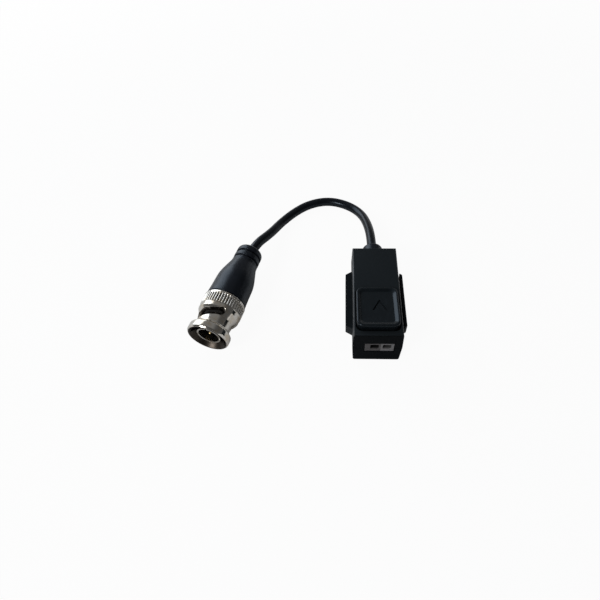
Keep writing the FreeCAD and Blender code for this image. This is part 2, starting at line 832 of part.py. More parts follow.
def make_cable():
    path = cable_path(CABLE_POINTS)
    radius = size.cable_radius.value
    shape = swept_round(path, radius)
    ideal = math.pi * radius ** 2 * path.Length
    print(f"Cable length {path.Length:.1f} mm, volume {shape.Volume:.1f} of {ideal:.1f} cubic mm")
    add_shape("cable", shape)


def make_strain_relief():
    """Soft bush that grips the rear wall on both faces and ends in a dome."""
    body = new_body("strain_relief")
    bore = size.cable_radius + size.fit_gap
    flange_front = inner_back - size.fit_gap - size.relief_flange_width
    outer = back + size.fit_gap / 2
    end = back + size.relief_length
    turn(body, "Bush", "y", [
        (bore, flange_front), (size.relief_flange, flange_front),
        (size.relief_flange, flange_front + size.relief_flange_width),
        (size.relief_neck, flange_front + size.relief_flange_width),
        (size.relief_neck, outer), (size.relief_radius, outer),
        (size.relief_end_radius, end), (bore, end)])
    soften(body, "Dome", size.relief_round,
           lambda edge, middle: near(middle.y, end) and math.hypot(middle.x, middle.z) > bore.value + OVERLAP)
    place(body, 0, 0, size.parting_height)


# Plug, each piece drawn about its own Y axis with the mouth at zero

def make_coupling_nut():
    """Bayonet nut with a flange, a collar that two cam slots break through, and a knurled grip."""
    body = new_body("coupling_nut")
    turn(body, "Barrel", "y", [
        (size.mouth_radius, 0), (size.flange_radius - size.flange_bevel, 0),
        (size.flange_radius, size.flange_bevel), (size.flange_radius, size.flange_width),
        (size.neck_radius, size.flange_width + size.flange_slope), (size.neck_radius, size.neck_end),
        (size.collar_radius, size.neck_end + size.collar_slope),
        (size.collar_radius, size.grip_start - size.grip_slope),
        (size.grip_radius, size.grip_start), (size.grip_radius, size.grip_end - size.grip_bevel),
        (size.grip_radius - size.grip_bevel, size.grip_end), (size.chamber_radius, size.grip_end),
        (size.chamber_radius, size.chamber_start), (size.socket_radius, size.chamber_start),
        (size.socket_radius, size.mouth_depth)])
    entry = pocket(body, "StudEntry", "x", 0, size.entry_groove,
                   rectangle(0, size.slot_start, -size.slot_width / 2, size.slot_width / 2))
    document.recompute()
    # A cut about a slightly tilted axis climbs along the barrel as a cam does
    sweep = size.slot_angle.value
    half_rise = size.slot_rise / 2
    slope = math.atan2(half_rise.value, size.collar_radius.value * math.sin(math.radians(sweep / 2)))
    middle = size.slot_start + half_rise
    tilt = Rotation(Vector(0, 1, 0), sweep / 2) * Rotation(Vector(1, 0, 0), math.degrees(slope))
    section = add_turned_sketch(body, "CamSlotSection", (0, middle, 0), tilt)
    draw_outline(section, rectangle(size.socket_radius - OVERLAP, size.grip_radius + OVERLAP,
                                    -size.slot_width / 2, size.slot_width / 2))
    slot = body.newObject("PartDesign::Groove", "CamSlot")
    slot.Profile = section
    slot.ReferenceAxis = (section, ["V_Axis"])
    slot.setExpression("Angle", size.slot_angle.text)
    slot.Midplane = True
    document.recompute()
    outside = size.grip_radius + OVERLAP
    angle = math.radians(sweep)
    facing = (outside * math.cos(angle), size.slot_start + size.slot_rise, -outside * math.sin(angle))
    window = add_turned_sketch(body, "DetentSection", facing, Rotation(Vector(0, 1, 0), 90 + sweep))
    draw_circle(window, 0, 0, size.detent_radius)
    detent = body.newObject("PartDesign::Pocket", "Detent")
    detent.Profile = window
    detent.Refine = False
    detent.setExpression("Length", (outside - size.socket_radius + OVERLAP).text)
    document.recompute()
    repeat(body, "BothSlots", [entry, slot, detent], "Y_Axis", 2)
    document.recompute()
    half_groove = size.grip_groove_width / 2
    ridge = pocket(body, "KnurlGroove", "y", size.grip_start, size.grip_end - size.grip_rim,
                   [(half_groove, size.grip_radius), (-half_groove, size.grip_radius),
                    (0, size.grip_radius - size.grip_groove)])
    document.recompute()
    repeat(body, "Knurl", [ridge], "Y_Axis", KNURL_COUNT)
    on_plug(body, spin=-90 - size.slot_place)


def make_retaining_ring():
    """Ring pressed into the back of the nut that keeps the washers in."""
    body = new_body("retaining_ring")
    bore = size.barrel_outer + size.washer_bore_gap
    ring_end = washer_end + size.ring_thickness
    turn(body, "Ring", "y", rectangle(bore, size.chamber_radius, washer_end, ring_end))
    on_plug(body)


def make_thrust_washer():
    body = new_body("thrust_washer")
    bore = size.barrel_outer + size.washer_bore_gap
    rim = size.chamber_radius - size.washer_rim_gap
    turn(body, "Washer", "y", rectangle(bore, rim, washer_start, washer_end))
    on_plug(body)


def make_wave_washer():
    """Curved spring washer between the shell's flange and the thrust washer."""
    inner = size.barrel_outer.value + size.fit_gap.value
    outer = size.chamber_radius.value - size.washer_bore_gap.value
    start = shell_flange_end.value
    rise = size.wave_height.value
    thick = size.wave_thickness.value
    bow = (outer ** 2 + rise ** 2) / (2 * rise)
    depth = 2 * (rise + thick)
    tube = Part.makeCylinder(outer, depth, Vector(0, start, 0), Vector(0, 1, 0))
    tube = tube.cut(Part.makeCylinder(inner, depth, Vector(0, start, 0), Vector(0, 1, 0)))
    centre = Vector(-outer - OVERLAP, start + rise + thick - bow, 0)
    span = 2 * (outer + OVERLAP)
    sheet_metal = Part.makeCylinder(bow, span, centre, Vector(1, 0, 0))
    sheet_metal = sheet_metal.cut(Part.makeCylinder(bow - thick, span, centre, Vector(1, 0, 0)))
    washer = add_shape("wave_washer", tube.common(sheet_metal))
    on_plug(washer)


def make_plug_shell():
    """Outer contact: slotted sleeve, shoulder, flange that carries the nut, and rear barrel."""
    body = new_body("plug_shell")
    sleeve_inner = size.sleeve_radius - size.sleeve_wall
    shoulder = size.socket_radius - size.washer_rim_gap
    support = size.ferrule_radius - size.ferrule_wall - size.fit_gap
    support_end = size.barrel_end + size.support_length
    core_bore = size.core_wire_radius + size.fit_gap
    turn(body, "Shell", "y", [
        (sleeve_inner, size.sleeve_recess), (size.sleeve_radius, size.sleeve_recess),
        (size.sleeve_radius, size.shoulder_start), (shoulder, size.shoulder_start),
        (shoulder, size.shell_flange_start), (size.shell_flange_radius, size.shell_flange_start),
        (size.shell_flange_radius, shell_flange_end), (size.barrel_outer, shell_flange_end),
        (size.barrel_outer, size.barrel_end), (support, size.barrel_end),
        (support, support_end), (core_bore, support_end),
        (core_bore, size.pin_end), (sleeve_inner, size.pin_end)])
    slit = pocket(body, "SleeveSlit", "x", sleeve_inner - OVERLAP, size.sleeve_radius + OVERLAP,
                  rectangle(size.sleeve_recess, size.sleeve_recess + size.sleeve_slot_length,
                            -size.sleeve_slot / 2, size.sleeve_slot / 2))
    document.recompute()
    repeat(body, "SleeveSlits", [slit], "Y_Axis", SLEEVE_SLOTS)
    on_plug(body)


def make_plug_inside():
    """Insulator, centre pin, gasket and the stripped core that feeds the pin."""
    sleeve_inner = size.sleeve_radius - size.sleeve_wall
    insulator = new_body("insulator")
    turn(insulator, "Bush", "y", rectangle(size.pin_radius + size.fit_gap, sleeve_inner - size.fit_gap,
                                           size.insulator_start, size.pin_end - size.fit_gap))
    on_plug(insulator)
    pin = new_body("centre_pin")
    turn(pin, "Pin", "y", [
        (0, size.pin_recess), (size.pin_radius / 2, size.pin_recess),
        (size.pin_radius, size.pin_recess + size.pin_point),
        (size.pin_radius, size.pin_end), (0, size.pin_end)])
    on_plug(pin)
    gasket = new_body("sealing_gasket")
    turn(gasket, "Ring", "y", rectangle(size.sleeve_radius, size.socket_radius - size.washer_rim_gap,
                                        size.shoulder_start - size.gasket_width, size.shoulder_start))
    on_plug(gasket)
    core = new_body("cable_core")
    turn(core, "Core", "y", rectangle(0, size.core_wire_radius, size.pin_end, cable_end_distance()))
    on_plug(core)
    ferrule = new_body("crimp_ferrule")
    turn(ferrule, "Tube", "y", rectangle(size.ferrule_radius - size.ferrule_wall, size.ferrule_radius,
                                         size.barrel_end + size.fit_gap, cable_end_distance()))
    on_plug(ferrule)


def cable_end_distance():
    """Distance from the plug's mouth to the end of the cable, along the plug's axis."""
    end = CABLE_POINTS[-1]
    return as_size(math.hypot(end[0] - size.plug_x.value, end[1] - size.plug_y.value))


def make_plug_boot():
    """Moulded boot: a full shoulder over the metal, a waist, and a neck with two grooves."""
    body = new_body("plug_boot")
    bore = size.cable_radius + size.fit_gap
    socket = size.barrel_outer + size.fit_gap
    tunnel = size.ferrule_radius + size.fit_gap
    turn(body, "Boot", "y", [
        (socket, size.boot_start), (size.boot_radius, size.boot_start),
        (size.boot_radius, size.boot_shoulder),
        (size.boot_neck, size.boot_neck_start), (size.boot_neck, size.boot_end), (bore, size.boot_end),
        (bore, cable_end_distance()), (tunnel, cable_end_distance()),
        (tunnel, size.barrel_end), (socket, size.barrel_end)])

    def outer_circle(distance):
        inner_limit = size.boot_neck.value - OVERLAP
        return lambda edge, middle: near(middle.y, distance) and math.hypot(middle.x, middle.z) > inner_limit

    soften(body, "ShoulderRound", size.boot_shoulder_round, outer_circle(size.boot_shoulder))
    soften(body, "NeckRound", size.boot_neck_round, outer_circle(size.boot_neck_start))
    soften(body, "EndRound", size.boot_round, outer_circle(size.boot_end))
    for name, start in (("FirstGroove", size.boot_groove_first), ("SecondGroove", size.boot_groove_second)):
        deep = size.boot_neck - size.boot_groove_depth
        open_side = size.boot_neck + size.boot_groove_flare
        end = start + size.boot_groove_width
        turn(body, name, "y", [
            (deep, start), (open_side, start - size.boot_groove_flare),
            (open_side, end + size.boot_groove_flare), (deep, end)],
             kind="PartDesign::Groove")
    on_plug(body)


make_lower_shell()
make_upper_shell()
make_press_lever()
make_terminal_pole("terminal_pole_left", terminal_left, size.terminal_split, entry_left)
make_terminal_pole("terminal_pole_right", size.terminal_split, terminal_right, entry_right)
for side, entry in (("left", entry_left), ("right", entry_right)):
    make_contact(f"contact_{side}", entry)
    make_clamp_spring(f"clamp_spring_{side}", entry)
make_circuit_board()
make_choke()
make_components()
make_leads()
make_cable()
make_strain_relief()
make_coupling_nut()
make_retaining_ring()
make_thrust_washer()
make_wave_washer()
make_plug_shell()
make_plug_inside()
make_plug_boot()
document.recompute()

# Check every feature, then write one file for each piece

for item in document.Objects:
    if "Invalid" in item.State or "Error" in item.State:
        raise RuntimeError(f"{item.Label} failed: {item.State}")
    if item.TypeId in ("PartDesign::Pocket", "PartDesign::Groove"):
        if item.Shape.Volume > item.BaseFeature.Shape.Volume - 0.001:
            raise RuntimeError(f"{item.Label} removes nothing")

pieces = [item for item in document.Objects
          if item.TypeId == "PartDesign::Body" or item.TypeId == "Part::Feature"]
for piece in pieces:
    if piece.Shape.isNull() or not piece.Shape.isValid():
        raise RuntimeError(f"{piece.Label} has no valid shape")

os.makedirs("parts", exist_ok=True)
for piece in pieces:
    piece.Shape.exportStep(f"parts/{piece.Label}.step")
print(f"{len(pieces)} pieces written")
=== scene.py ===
# %% [markdown]
# A video balun joins a coaxial camera lead to a twisted pair. This one has a black box with a press
# lever over two push terminals, a short lead, and a bayonet plug with a vinyl boot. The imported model
# gives every piece its place, and this lesson dresses that model so that it looks like the real thing.

import math

import bmesh
import bpy
import numpy as np
from mathutils import Matrix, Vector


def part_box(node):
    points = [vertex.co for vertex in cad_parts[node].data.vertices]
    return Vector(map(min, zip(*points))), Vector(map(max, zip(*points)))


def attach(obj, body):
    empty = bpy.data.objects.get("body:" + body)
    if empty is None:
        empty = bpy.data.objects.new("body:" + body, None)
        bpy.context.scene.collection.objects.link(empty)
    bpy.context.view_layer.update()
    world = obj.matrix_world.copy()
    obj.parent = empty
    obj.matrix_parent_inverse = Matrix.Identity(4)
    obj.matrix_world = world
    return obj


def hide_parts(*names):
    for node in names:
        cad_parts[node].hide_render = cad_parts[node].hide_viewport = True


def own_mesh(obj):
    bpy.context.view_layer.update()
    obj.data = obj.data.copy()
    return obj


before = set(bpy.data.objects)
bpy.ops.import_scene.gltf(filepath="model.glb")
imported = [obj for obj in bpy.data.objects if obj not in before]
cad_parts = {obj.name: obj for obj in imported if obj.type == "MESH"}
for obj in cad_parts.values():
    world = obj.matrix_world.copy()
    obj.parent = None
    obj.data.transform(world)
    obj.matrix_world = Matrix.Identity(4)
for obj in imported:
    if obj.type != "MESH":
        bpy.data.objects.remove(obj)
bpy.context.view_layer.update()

# %% [markdown]
# The camera comes first, and stands where the photograph was taken. Its place and its directions were
# solved from the corners of the box, the ends of the lead and the plug's rim. The picture's centre is not
# the lens's centre, so a small shift finishes the match.

# %% Camera
MM = 0.001
PICTURE = 600.0
SENSOR = 36.0
FOCAL_PIXELS = 409.957
LENS_CENTRE = (325.667, 315.052)
EYE = np.array([-11.982, -86.070, 124.045]) * MM
RIGHT = (0.99931048, 0.02612898, -0.02637897)
UP = (-0.00651941, 0.82290864, 0.56813631)


def linked(name, data):
    """A new object that holds this data, in the scene and at its origin."""
    made = bpy.data.objects.new(name, data)
    bpy.context.scene.collection.objects.link(made)
    return made


lens = bpy.data.cameras.new("camera")
lens.sensor_width = SENSOR
lens.lens = FOCAL_PIXELS * SENSOR / PICTURE
lens.shift_x = (PICTURE / 2 - LENS_CENTRE[0]) / PICTURE
lens.shift_y = (LENS_CENTRE[1] - PICTURE / 2) / PICTURE
lens.clip_start = 0.005
camera = linked("camera", lens)
turn = Matrix((RIGHT, UP, np.cross(RIGHT, UP))).transposed().to_4x4()
camera.matrix_world = Matrix.Translation(EYE) @ turn
bpy.context.scene.camera = camera
print("lens", round(lens.lens, 3), "mm, shift", round(lens.shift_x, 4), round(lens.shift_y, 4))

# %% [markdown]
# The lead is a real length of cable, so it is a curve and not a bent solid. It leaves the box level,
# sinks to the table by its weight, runs along it and rises again into the plug's boot. A NURBS spline
# of order three passes smoothly between the route's points. The tube's radius is the bevel's depth times
# the points' radius, and a curve's box is measured with the latter alone, so the bevel is 1 m deep.

# %% Lead
LEAD_RADIUS = 1.8
LEAD_ROUTE = [
    (0.0, 17.5, 7.7), (0.0, 30.0, 7.7), (-1.0, 42.0, 5.0), (-3.6, 52.0, 2.2),
    (-9.6, 57.8, 1.8), (-17.7, 60.5, 1.8), (-26.0, 58.4, 1.8), (-32.6, 53.0, 1.8),
    (-37.9, 45.2, 2.6), (-40.8, 36.9, 5.0), (-46.316, 27.357, 7.42), (-48.393, 18.806, 7.42),
]


def lead_curve(name, route, radius):
    """A tube round one open NURBS spline of order 3 whose control points are the route's, in mm."""
    curve = bpy.data.curves.new(name, "CURVE")
    curve.dimensions = "3D"
    spline = curve.splines.new("NURBS")
    spline.points.add(len(route) - 1)
    weighted = np.pad(np.array(route) * MM, ((0, 0), (0, 1)), constant_values=1.0)
    spline.points.foreach_set("co", weighted.ravel())
    spline.points.foreach_set("radius", np.full(len(route), radius * MM))
    spline.order_u = 3
    spline.use_endpoint_u = True
    spline.resolution_u = 24
    curve.bevel_depth = 1.0
    curve.bevel_resolution = 8
    curve.use_fill_caps = True
    return linked(name, curve)


lead = lead_curve("lead", LEAD_ROUTE, LEAD_RADIUS)
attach(lead, "housing")
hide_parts("cable")

# %% [markdown]
# Most pieces here are surfaces that were turned, moulded or swept, so each is worked out as a grid of
# points: rows one way, columns the other. A grid becomes quads by numbering its corners, and several
# grids that share their edges are welded into one closed skin.

# %% Grids and welded skins
WELD = 0.0004


def grid_quads(rows, columns, closed):
    """Corner numbers of the quads of a rows x columns grid; closed joins the last column to the first."""
    row = np.arange(rows - 1)[:, None] * columns
    column = np.arange(columns if closed else columns - 1)[None, :]
    after = (column + 1) % columns
    corners = np.broadcast_arrays(row + column, row + after, row + columns + after, row + columns + column)
    return np.stack(corners, axis=-1).reshape(-1, 4)


def skin(name, grids, crease=30.0):
    """One welded mesh, in metres, of (points, closed) grids in mm, sharp at edges past crease degrees."""
    points, quads, first = [], [], 0
    for grid, closed in grids:
        rows, columns = grid.shape[:2]
        points.append(grid.reshape(-1, 3))
        quads.append(grid_quads(rows, columns, closed) + first)
        first += rows * columns
    mesh = bpy.data.meshes.new(name)
    mesh.from_pydata(np.concatenate(points) * MM, [], np.concatenate(quads).tolist())
    shape = bmesh.new()
    shape.from_mesh(mesh)
    bmesh.ops.remove_doubles(shape, verts=shape.verts, dist=WELD * MM)
    bmesh.ops.recalc_face_normals(shape, faces=shape.faces)
    shape.to_mesh(mesh)
    shape.free()
    mesh.shade_smooth()
    mesh.set_sharp_from_angle(angle=math.radians(crease))
    return linked(name, mesh)


def rounded(corners, cut, steps=5):
    """A closed outline whose corners become parabolas that start and end `cut` mm from each corner.

    An open profile has a cut of 0 at both ends."""
    corners = np.asarray(corners, float)
    reach = np.broadcast_to(np.asarray(cut, float), len(corners))[:, None]
    back = np.roll(corners, 1, axis=0) - corners
    ahead = np.roll(corners, -1, axis=0) - corners
    start = corners + back / np.linalg.norm(back, axis=1, keepdims=True) * reach
    end = corners + ahead / np.linalg.norm(ahead, axis=1, keepdims=True) * reach
    t = np.linspace(0, 1, steps)[None, :, None]
    arcs = (1 - t) ** 2 * start[:, None] + 2 * t * (1 - t) * corners[:, None] + t**2 * end[:, None]
    return arcs.reshape(-1, corners.shape[1])


print("quads of a 3 x 4 grid:", len(grid_quads(3, 4, False)))

# %% [markdown]
# Everything on the plug is measured from its mouth: how far behind it along the axis, the angle from
# the top toward the far side, and the distance from the axis. One function turns those three numbers
# into a place on the table, so a turned piece is only a profile and a ring of angles. A piece that is
# turned about another line brings its own function.

# %% Places on the plug
PLUG_MOUTH = np.array([-56.7, -15.4, 7.42])
PLUG_TURN = math.radians(13.65)
PLUG_AXIS = np.array([math.sin(PLUG_TURN), math.cos(PLUG_TURN), 0.0])
PLUG_SIDE = np.array([math.cos(PLUG_TURN), -math.sin(PLUG_TURN), 0.0])
TOP = np.array([0.0, 0.0, 1.0])


def on_plug(along, angle, radius):
    """Mouth + along x axis + radius x (cos angle x up - sin angle x side), for arrays of any one shape."""
    along, angle, radius = (item[..., None] for item in np.broadcast_arrays(along, angle, radius))
    return PLUG_MOUTH + along * PLUG_AXIS + radius * (np.cos(angle) * TOP - np.sin(angle) * PLUG_SIDE)


def turned(profile, columns, placed=on_plug):
    """A closed profile of (along, radius) pairs carried round an axis, its first row repeated last."""
    loop = np.concatenate([profile, profile[:1]])
    angles = np.arange(columns) * 2 * np.pi / columns
    return placed(loop[:, 0, None], angles[None, :], loop[:, 1, None]), True


print("plug mouth at", on_plug(np.zeros(1), np.zeros(1), np.zeros(1)).round(2).tolist())

# %% [markdown]
# A finish is a tree of shader nodes. Arithmetic on its sockets reads best as Python, so a small class
# wraps a socket and turns + - * / into Math nodes. Every other node comes from one function, which
# takes the node's type, its settings, and the values or wires of its sockets.

# %% Shader arithmetic
class Wire:
    """One socket of a material's tree; arithmetic on it adds Math nodes."""

    def __init__(self, tree, socket):
        self.tree = tree
        self.socket = socket

    def maths(self, operation, first, second):
        return node(self.tree, "ShaderNodeMath", {"operation": operation}, {0: first, 1: second})

    def __add__(self, other):
        return self.maths("ADD", self, other)

    __radd__ = __add__

    def __sub__(self, other):
        return self.maths("SUBTRACT", self, other)

    def __rsub__(self, other):
        return self.maths("SUBTRACT", other, self)

    def __mul__(self, other):
        return self.maths("MULTIPLY", self, other)

    __rmul__ = __mul__

    def __truediv__(self, other):
        return self.maths("DIVIDE", self, other)

    def __pow__(self, other):
        return self.maths("POWER", self, other)

    def __abs__(self):
        return self.maths("ABSOLUTE", self, 0.0)

    def sine(self):
        return self.maths("SINE", self, 0.0)


def node(tree, kind, settings, values, output=0):
    """Adds one node: settings first, then the values or wires of its sockets; gives one output as a Wire."""
    made = tree.nodes.new(kind)
    for key, value in settings.items():
        setattr(made, key, value)
    for key, value in values.items():
        if isinstance(value, Wire):
            tree.links.new(value.socket, made.inputs[key])
        else:
            made.inputs[key].default_value = value
    return Wire(tree, made.outputs[output])


def three_parts(places):
    """The x, y and z of a vector."""
    x = node(places.tree, "ShaderNodeSeparateXYZ", {}, {0: places})
    return [Wire(places.tree, output) for output in x.socket.node.outputs]


def smooth(wire, low, high):
    """0 below low, 1 above high, and a smooth step between."""
    return node(wire.tree, "ShaderNodeMapRange", {"interpolation_type": "SMOOTHSTEP"},
                {"Value": wire, "From Min": low, "From Max": high})


def blend(share, first, second):
    """A colour that goes from first to second as share goes from 0 to 1."""
    first, second = (item if isinstance(item, Wire) else (*item, 1.0) for item in (first, second))
    return node(share.tree, "ShaderNodeMix", {"data_type": "RGBA"}, {0: share, 6: first, 7: second}, 2)


class Finish:
    """A material on the Principled shader, whose patterns are read from the object's own coordinates."""

    def __init__(self, name, colour, roughness, **constants):
        self.material = bpy.data.materials.new(name)
        self.material.use_nodes = True
        self.tree = self.material.node_tree
        self.shader = self.tree.nodes["Principled BSDF"]
        self.shader.inputs["Base Color"].default_value = (*colour, 1.0)
        self.shader.inputs["Roughness"].default_value = roughness
        for key, value in constants.items():
            self.shader.inputs[key.replace("_", " ")].default_value = value
        self.places = self.add("ShaderNodeTexCoord", {}, {}, "Object")

    def add(self, kind, settings, values, output=0):
        return node(self.tree, kind, settings, values, output)

    def set(self, socket, wire):
        self.tree.links.new(wire.socket, self.shader.inputs[socket])

    def wired(self, socket):
        """What the socket is fed with now."""
        return Wire(self.tree, self.shader.inputs[socket].links[0].from_socket)

    def mapped(self, centre=(0, 0, 0), turn=(0, 0, 0), stretch=(1, 1, 1)):
        """Places measured from a centre in mm, turned, then stretched."""
        moved = self.add("ShaderNodeVectorMath", {"operation": "SUBTRACT"},
                         {0: self.places, 1: tuple(part * MM for part in centre)})
        return self.add("ShaderNodeMapping", {"vector_type": "POINT"},
                        {"Vector": moved, "Rotation": turn, "Scale": stretch})

    def noise(self, size, detail=2.0, places=None, roughness=0.5):
        """Noise between 0 and 1 with spots about `size` mm across."""
        scale = 1 / (size * MM)
        return self.add("ShaderNodeTexNoise", {}, {
            "Vector": places or self.places, "Scale": scale, "Detail": detail, "Roughness": roughness})

    def relief(self, height, depth):
        """Sets the normal from a height of 0 to 1 that stands `depth` mm high."""
        self.set("Normal", self.add("ShaderNodeBump", {}, {"Height": height, "Distance": depth * MM}))


print("finishes start from", bpy.app.version_string)

# %% [markdown]
# The box and the lever are moulded in black ABS. The tool's spark-eroded face leaves a fine grain, and
# handling polishes it unevenly, so roughness drifts over the surface. The lever is rubbed smoother than
# the box. Colour hardly changes: black plastic is seen by what it reflects.

# %% Moulded plastics
PLASTIC_IOR = 1.5
BLUE_SHEEN = (0.72, 0.86, 1.0, 1.0)
HANDLING = 0.10


def black_plastic(name, colour, roughness, shine):
    """A plain black whose gloss is slightly blue."""
    return Finish(name, colour, roughness,
                  IOR=PLASTIC_IOR, Specular_IOR_Level=shine, Specular_Tint=BLUE_SHEEN)


def moulded_plastic(name, colour, roughness, shine, grain_size, grain_depth):
    """Dark ABS: a fine grain in relief, and a roughness that drifts over a few millimetres."""
    finish = black_plastic(name, colour, roughness, shine)
    wear = finish.noise(6.0, 3.0)
    smear = finish.noise(1.1, 4.0, finish.mapped(stretch=(1.0, 0.35, 1.0)))
    finish.set("Roughness", roughness + (wear - 0.5) * HANDLING + (smear - 0.5) * HANDLING * 0.6)
    paler = tuple(part * 1.5 + 0.0005 for part in colour)
    finish.set("Base Color", blend(smooth(smear, 0.45, 0.75), colour, paler))
    finish.relief(finish.noise(grain_size), grain_depth)
    return finish


housing_plastic = moulded_plastic("housing plastic", (0.0038, 0.0050, 0.0058), 0.42, 0.16, 0.16, 0.022)
lever_plastic = moulded_plastic("lever plastic", (0.0048, 0.0068, 0.0085), 0.27, 0.36, 0.14, 0.010)
housing_finish, lever_finish = housing_plastic.material, lever_plastic.material
print("plastics", housing_finish.name, lever_finish.name)

# %% [markdown]
# The box isn't worn evenly. Fingers polish its long upper edges, so a clear gloss rises there, broken by
# the handling marks. Dust makes the top a little greyer. Nobody handles the front face, so it keeps its
# full grain and is matt; its colour is also darkened there, a painted shade. Each range below, in mm, is
# where one kind of surface fades into another.

# %% Wear and painted shade of the box
RUBBED_ASIDE = (7.35, 7.6)
RUBBED_ABOVE = (14.6, 14.9)
DUSTY_ABOVE = (15.0, 15.25)
BEHIND_THE_FRONT = (-18.68, -18.4)
DUSTY_BLACK = (0.0120, 0.0152, 0.0176)
FRONT_PAINTED_SHADE = (0.0012, 0.0014, 0.0016)
aside, along, up = (part / MM for part in three_parts(housing_plastic.places))
rubbed = smooth(abs(aside), *RUBBED_ASIDE) * smooth(up, *RUBBED_ABOVE)
housing_plastic.set("Coat Weight", rubbed * (0.55 + housing_plastic.noise(2.5) * 0.7))
housing_plastic.shader.inputs["Coat Roughness"].default_value = 0.22
# Painted shade: this mask raises the front face's roughness and darkens its colour to near black.
front = 1.0 - smooth(along, *BEHIND_THE_FRONT)
dusty = blend(smooth(up, *DUSTY_ABOVE), housing_plastic.wired("Base Color"), DUSTY_BLACK)
housing_plastic.set("Base Color", blend(front, dusty, FRONT_PAINTED_SHADE))
housing_plastic.set("Roughness", housing_plastic.wired("Roughness") + front * 0.5)
print("box rubbed beyond", RUBBED_ASIDE, "and above", RUBBED_ABOVE)

# %% [markdown]
# The lead's jacket is extruded PVC, so its marks run along it, and the boot is soft vinyl moulded over
# the plug. Both are black with a broad, slightly blue gloss from the oils that keep them soft.

# %% Jacket and vinyl
def soft_black(name, colour, roughness, shine, mottle, depth):
    """Black PVC: slow changes of gloss, and a soft mottle in relief."""
    finish = black_plastic(name, colour, roughness, shine)
    bloom = finish.noise(3.5, 3.0)
    finish.set("Roughness", roughness + (bloom - 0.5) * 0.16)
    dusty = tuple(part * 1.8 + 0.001 for part in colour)
    finish.set("Base Color", blend(smooth(bloom, 0.5, 0.85), colour, dusty))
    finish.relief(finish.noise(mottle, 3.0), depth)
    return finish.material


jacket_finish = soft_black("jacket", (0.0045, 0.0050, 0.0070), 0.26, 0.30, 0.5, 0.015)
vinyl_finish = soft_black("boot vinyl", (0.0050, 0.0060, 0.0100), 0.32, 0.40, 0.35, 0.020)
print("soft blacks", jacket_finish.name, vinyl_finish.name)

# %% [markdown]
# The plug's metal is brass under bright nickel. The lathe leaves rings finer than a tenth of a
# millimetre, which stretch each highlight round the axis, and handling leaves faint warm stains. Polish
# reaches only what a cloth reaches, so the bore, the slots and the bottoms of the knurl stay rougher; they
# are also painted dark brown, a painted shade, and a mask of the distance along the axis and from it
# tells the two apart.

# %% Where the metal is rougher, with painted shade
PLUG_AXES = PLUG_MOUTH, (0, 0, PLUG_TURN)
FLANGE_INSIDE = 6.88
BARREL_INSIDE = 5.90
FLANGE_BACK = (2.7, 3.6)
KNURL_FRONT = (10.7, 10.9)
KNURL_BACK = (14.4, 14.6)
KNURL_BOTTOM = (7.08, 7.26)
SLEEVE_MOUTH = (0.9, 3.6)


def plug_places(finish):
    """How far behind the mouth a point is, and how far from the axis, both in mm."""
    side, along, up = three_parts(finish.mapped(*PLUG_AXES))
    return along / MM, (side * side + up * up) ** 0.5 / MM


def nut_recess(finish):
    """1 inside the nut's wall and at the bottom of its knurl, where shade is painted, 0 on its polished
    outside.
    """
    along, radius = plug_places(finish)
    skin_radius = FLANGE_INSIDE - smooth(along, *FLANGE_BACK) * (FLANGE_INSIDE - BARREL_INSIDE)
    inside = 1.0 - smooth(radius - skin_radius, -0.10, 0.0)
    knurled = smooth(along, *KNURL_FRONT) * (1.0 - smooth(along, *KNURL_BACK))
    groove = knurled * (1.0 - smooth(radius, *KNURL_BOTTOM))
    return inside + groove - inside * groove


def sleeve_recess(finish):
    """0 at the sleeve's lip and 1 from a few millimetres inside it, where shade is painted."""
    return smooth(plug_places(finish)[0], *SLEEVE_MOUTH)


print("knurl's bottom is dull from", KNURL_FRONT[1], "to", KNURL_BACK[0], "mm behind the mouth")

# %% Metals
NICKEL = (0.72, 0.69, 0.64)
# Painted shade: the sleeve's nickel is a darker copy of the nickel, because the sleeve sits deep in the nut.
SHADED_NICKEL = (0.36, 0.34, 0.31)
# Painted shade: these browns darken the nut's bore, slots and knurl bottoms, and the sleeve's inside.
SHADE_BROWN = (0.050, 0.042, 0.035)
DEEP_SHADE_BROWN = (0.030, 0.026, 0.023)


def turned_metal(name, colour, roughness, ring=0.07, depth=0.0012, recess=None, dull_and_shaded=SHADE_BROWN):
    """Polished metal with lathe rings `ring` mm apart along the plug's axis, and duller, warmer patches.

    The rings are noise drawn out across the axis. Where the recess's mask is 1, the metal is rougher and
    takes the colour dull_and_shaded, a painted shade."""
    finish = Finish(name, colour, roughness, Metallic=1.0)
    rings = finish.noise(ring, 3.0, finish.mapped(*PLUG_AXES, (0.02, 1.0, 0.02)), 0.6)
    stain = finish.noise(2.2, 4.0, finish.mapped(*PLUG_AXES))
    gloss = roughness + smooth(stain, 0.45, 0.8) * 0.16 + (rings - 0.5) * 0.06
    warm = (colour[0] * 0.86, colour[1] * 0.76, colour[2] * 0.62)
    tint = blend(smooth(stain, 0.42, 0.78), colour, warm)
    if recess is not None:
        # Painted shade: where the mask is 1, the colour goes to a dark brown, and the metal is rougher.
        shaded_and_rough = recess(finish)
        gloss = gloss + shaded_and_rough * 0.22
        tint = blend(shaded_and_rough, tint, dull_and_shaded)
    finish.set("Roughness", gloss)
    finish.set("Base Color", tint)
    finish.relief(rings, depth)
    return finish.material


def plain_metal(name, colour, roughness, size, depth):
    """Plated or drawn metal with small dents and a drifting gloss."""
    finish = Finish(name, colour, roughness, Metallic=1.0)
    dents = finish.noise(size, 3.0)
    finish.set("Roughness", roughness + (dents - 0.5) * 0.2)
    duller = tuple(part * 0.7 for part in colour)
    finish.set("Base Color", blend(smooth(dents, 0.5, 0.8), colour, duller))
    finish.relief(dents, depth)
    return finish.material


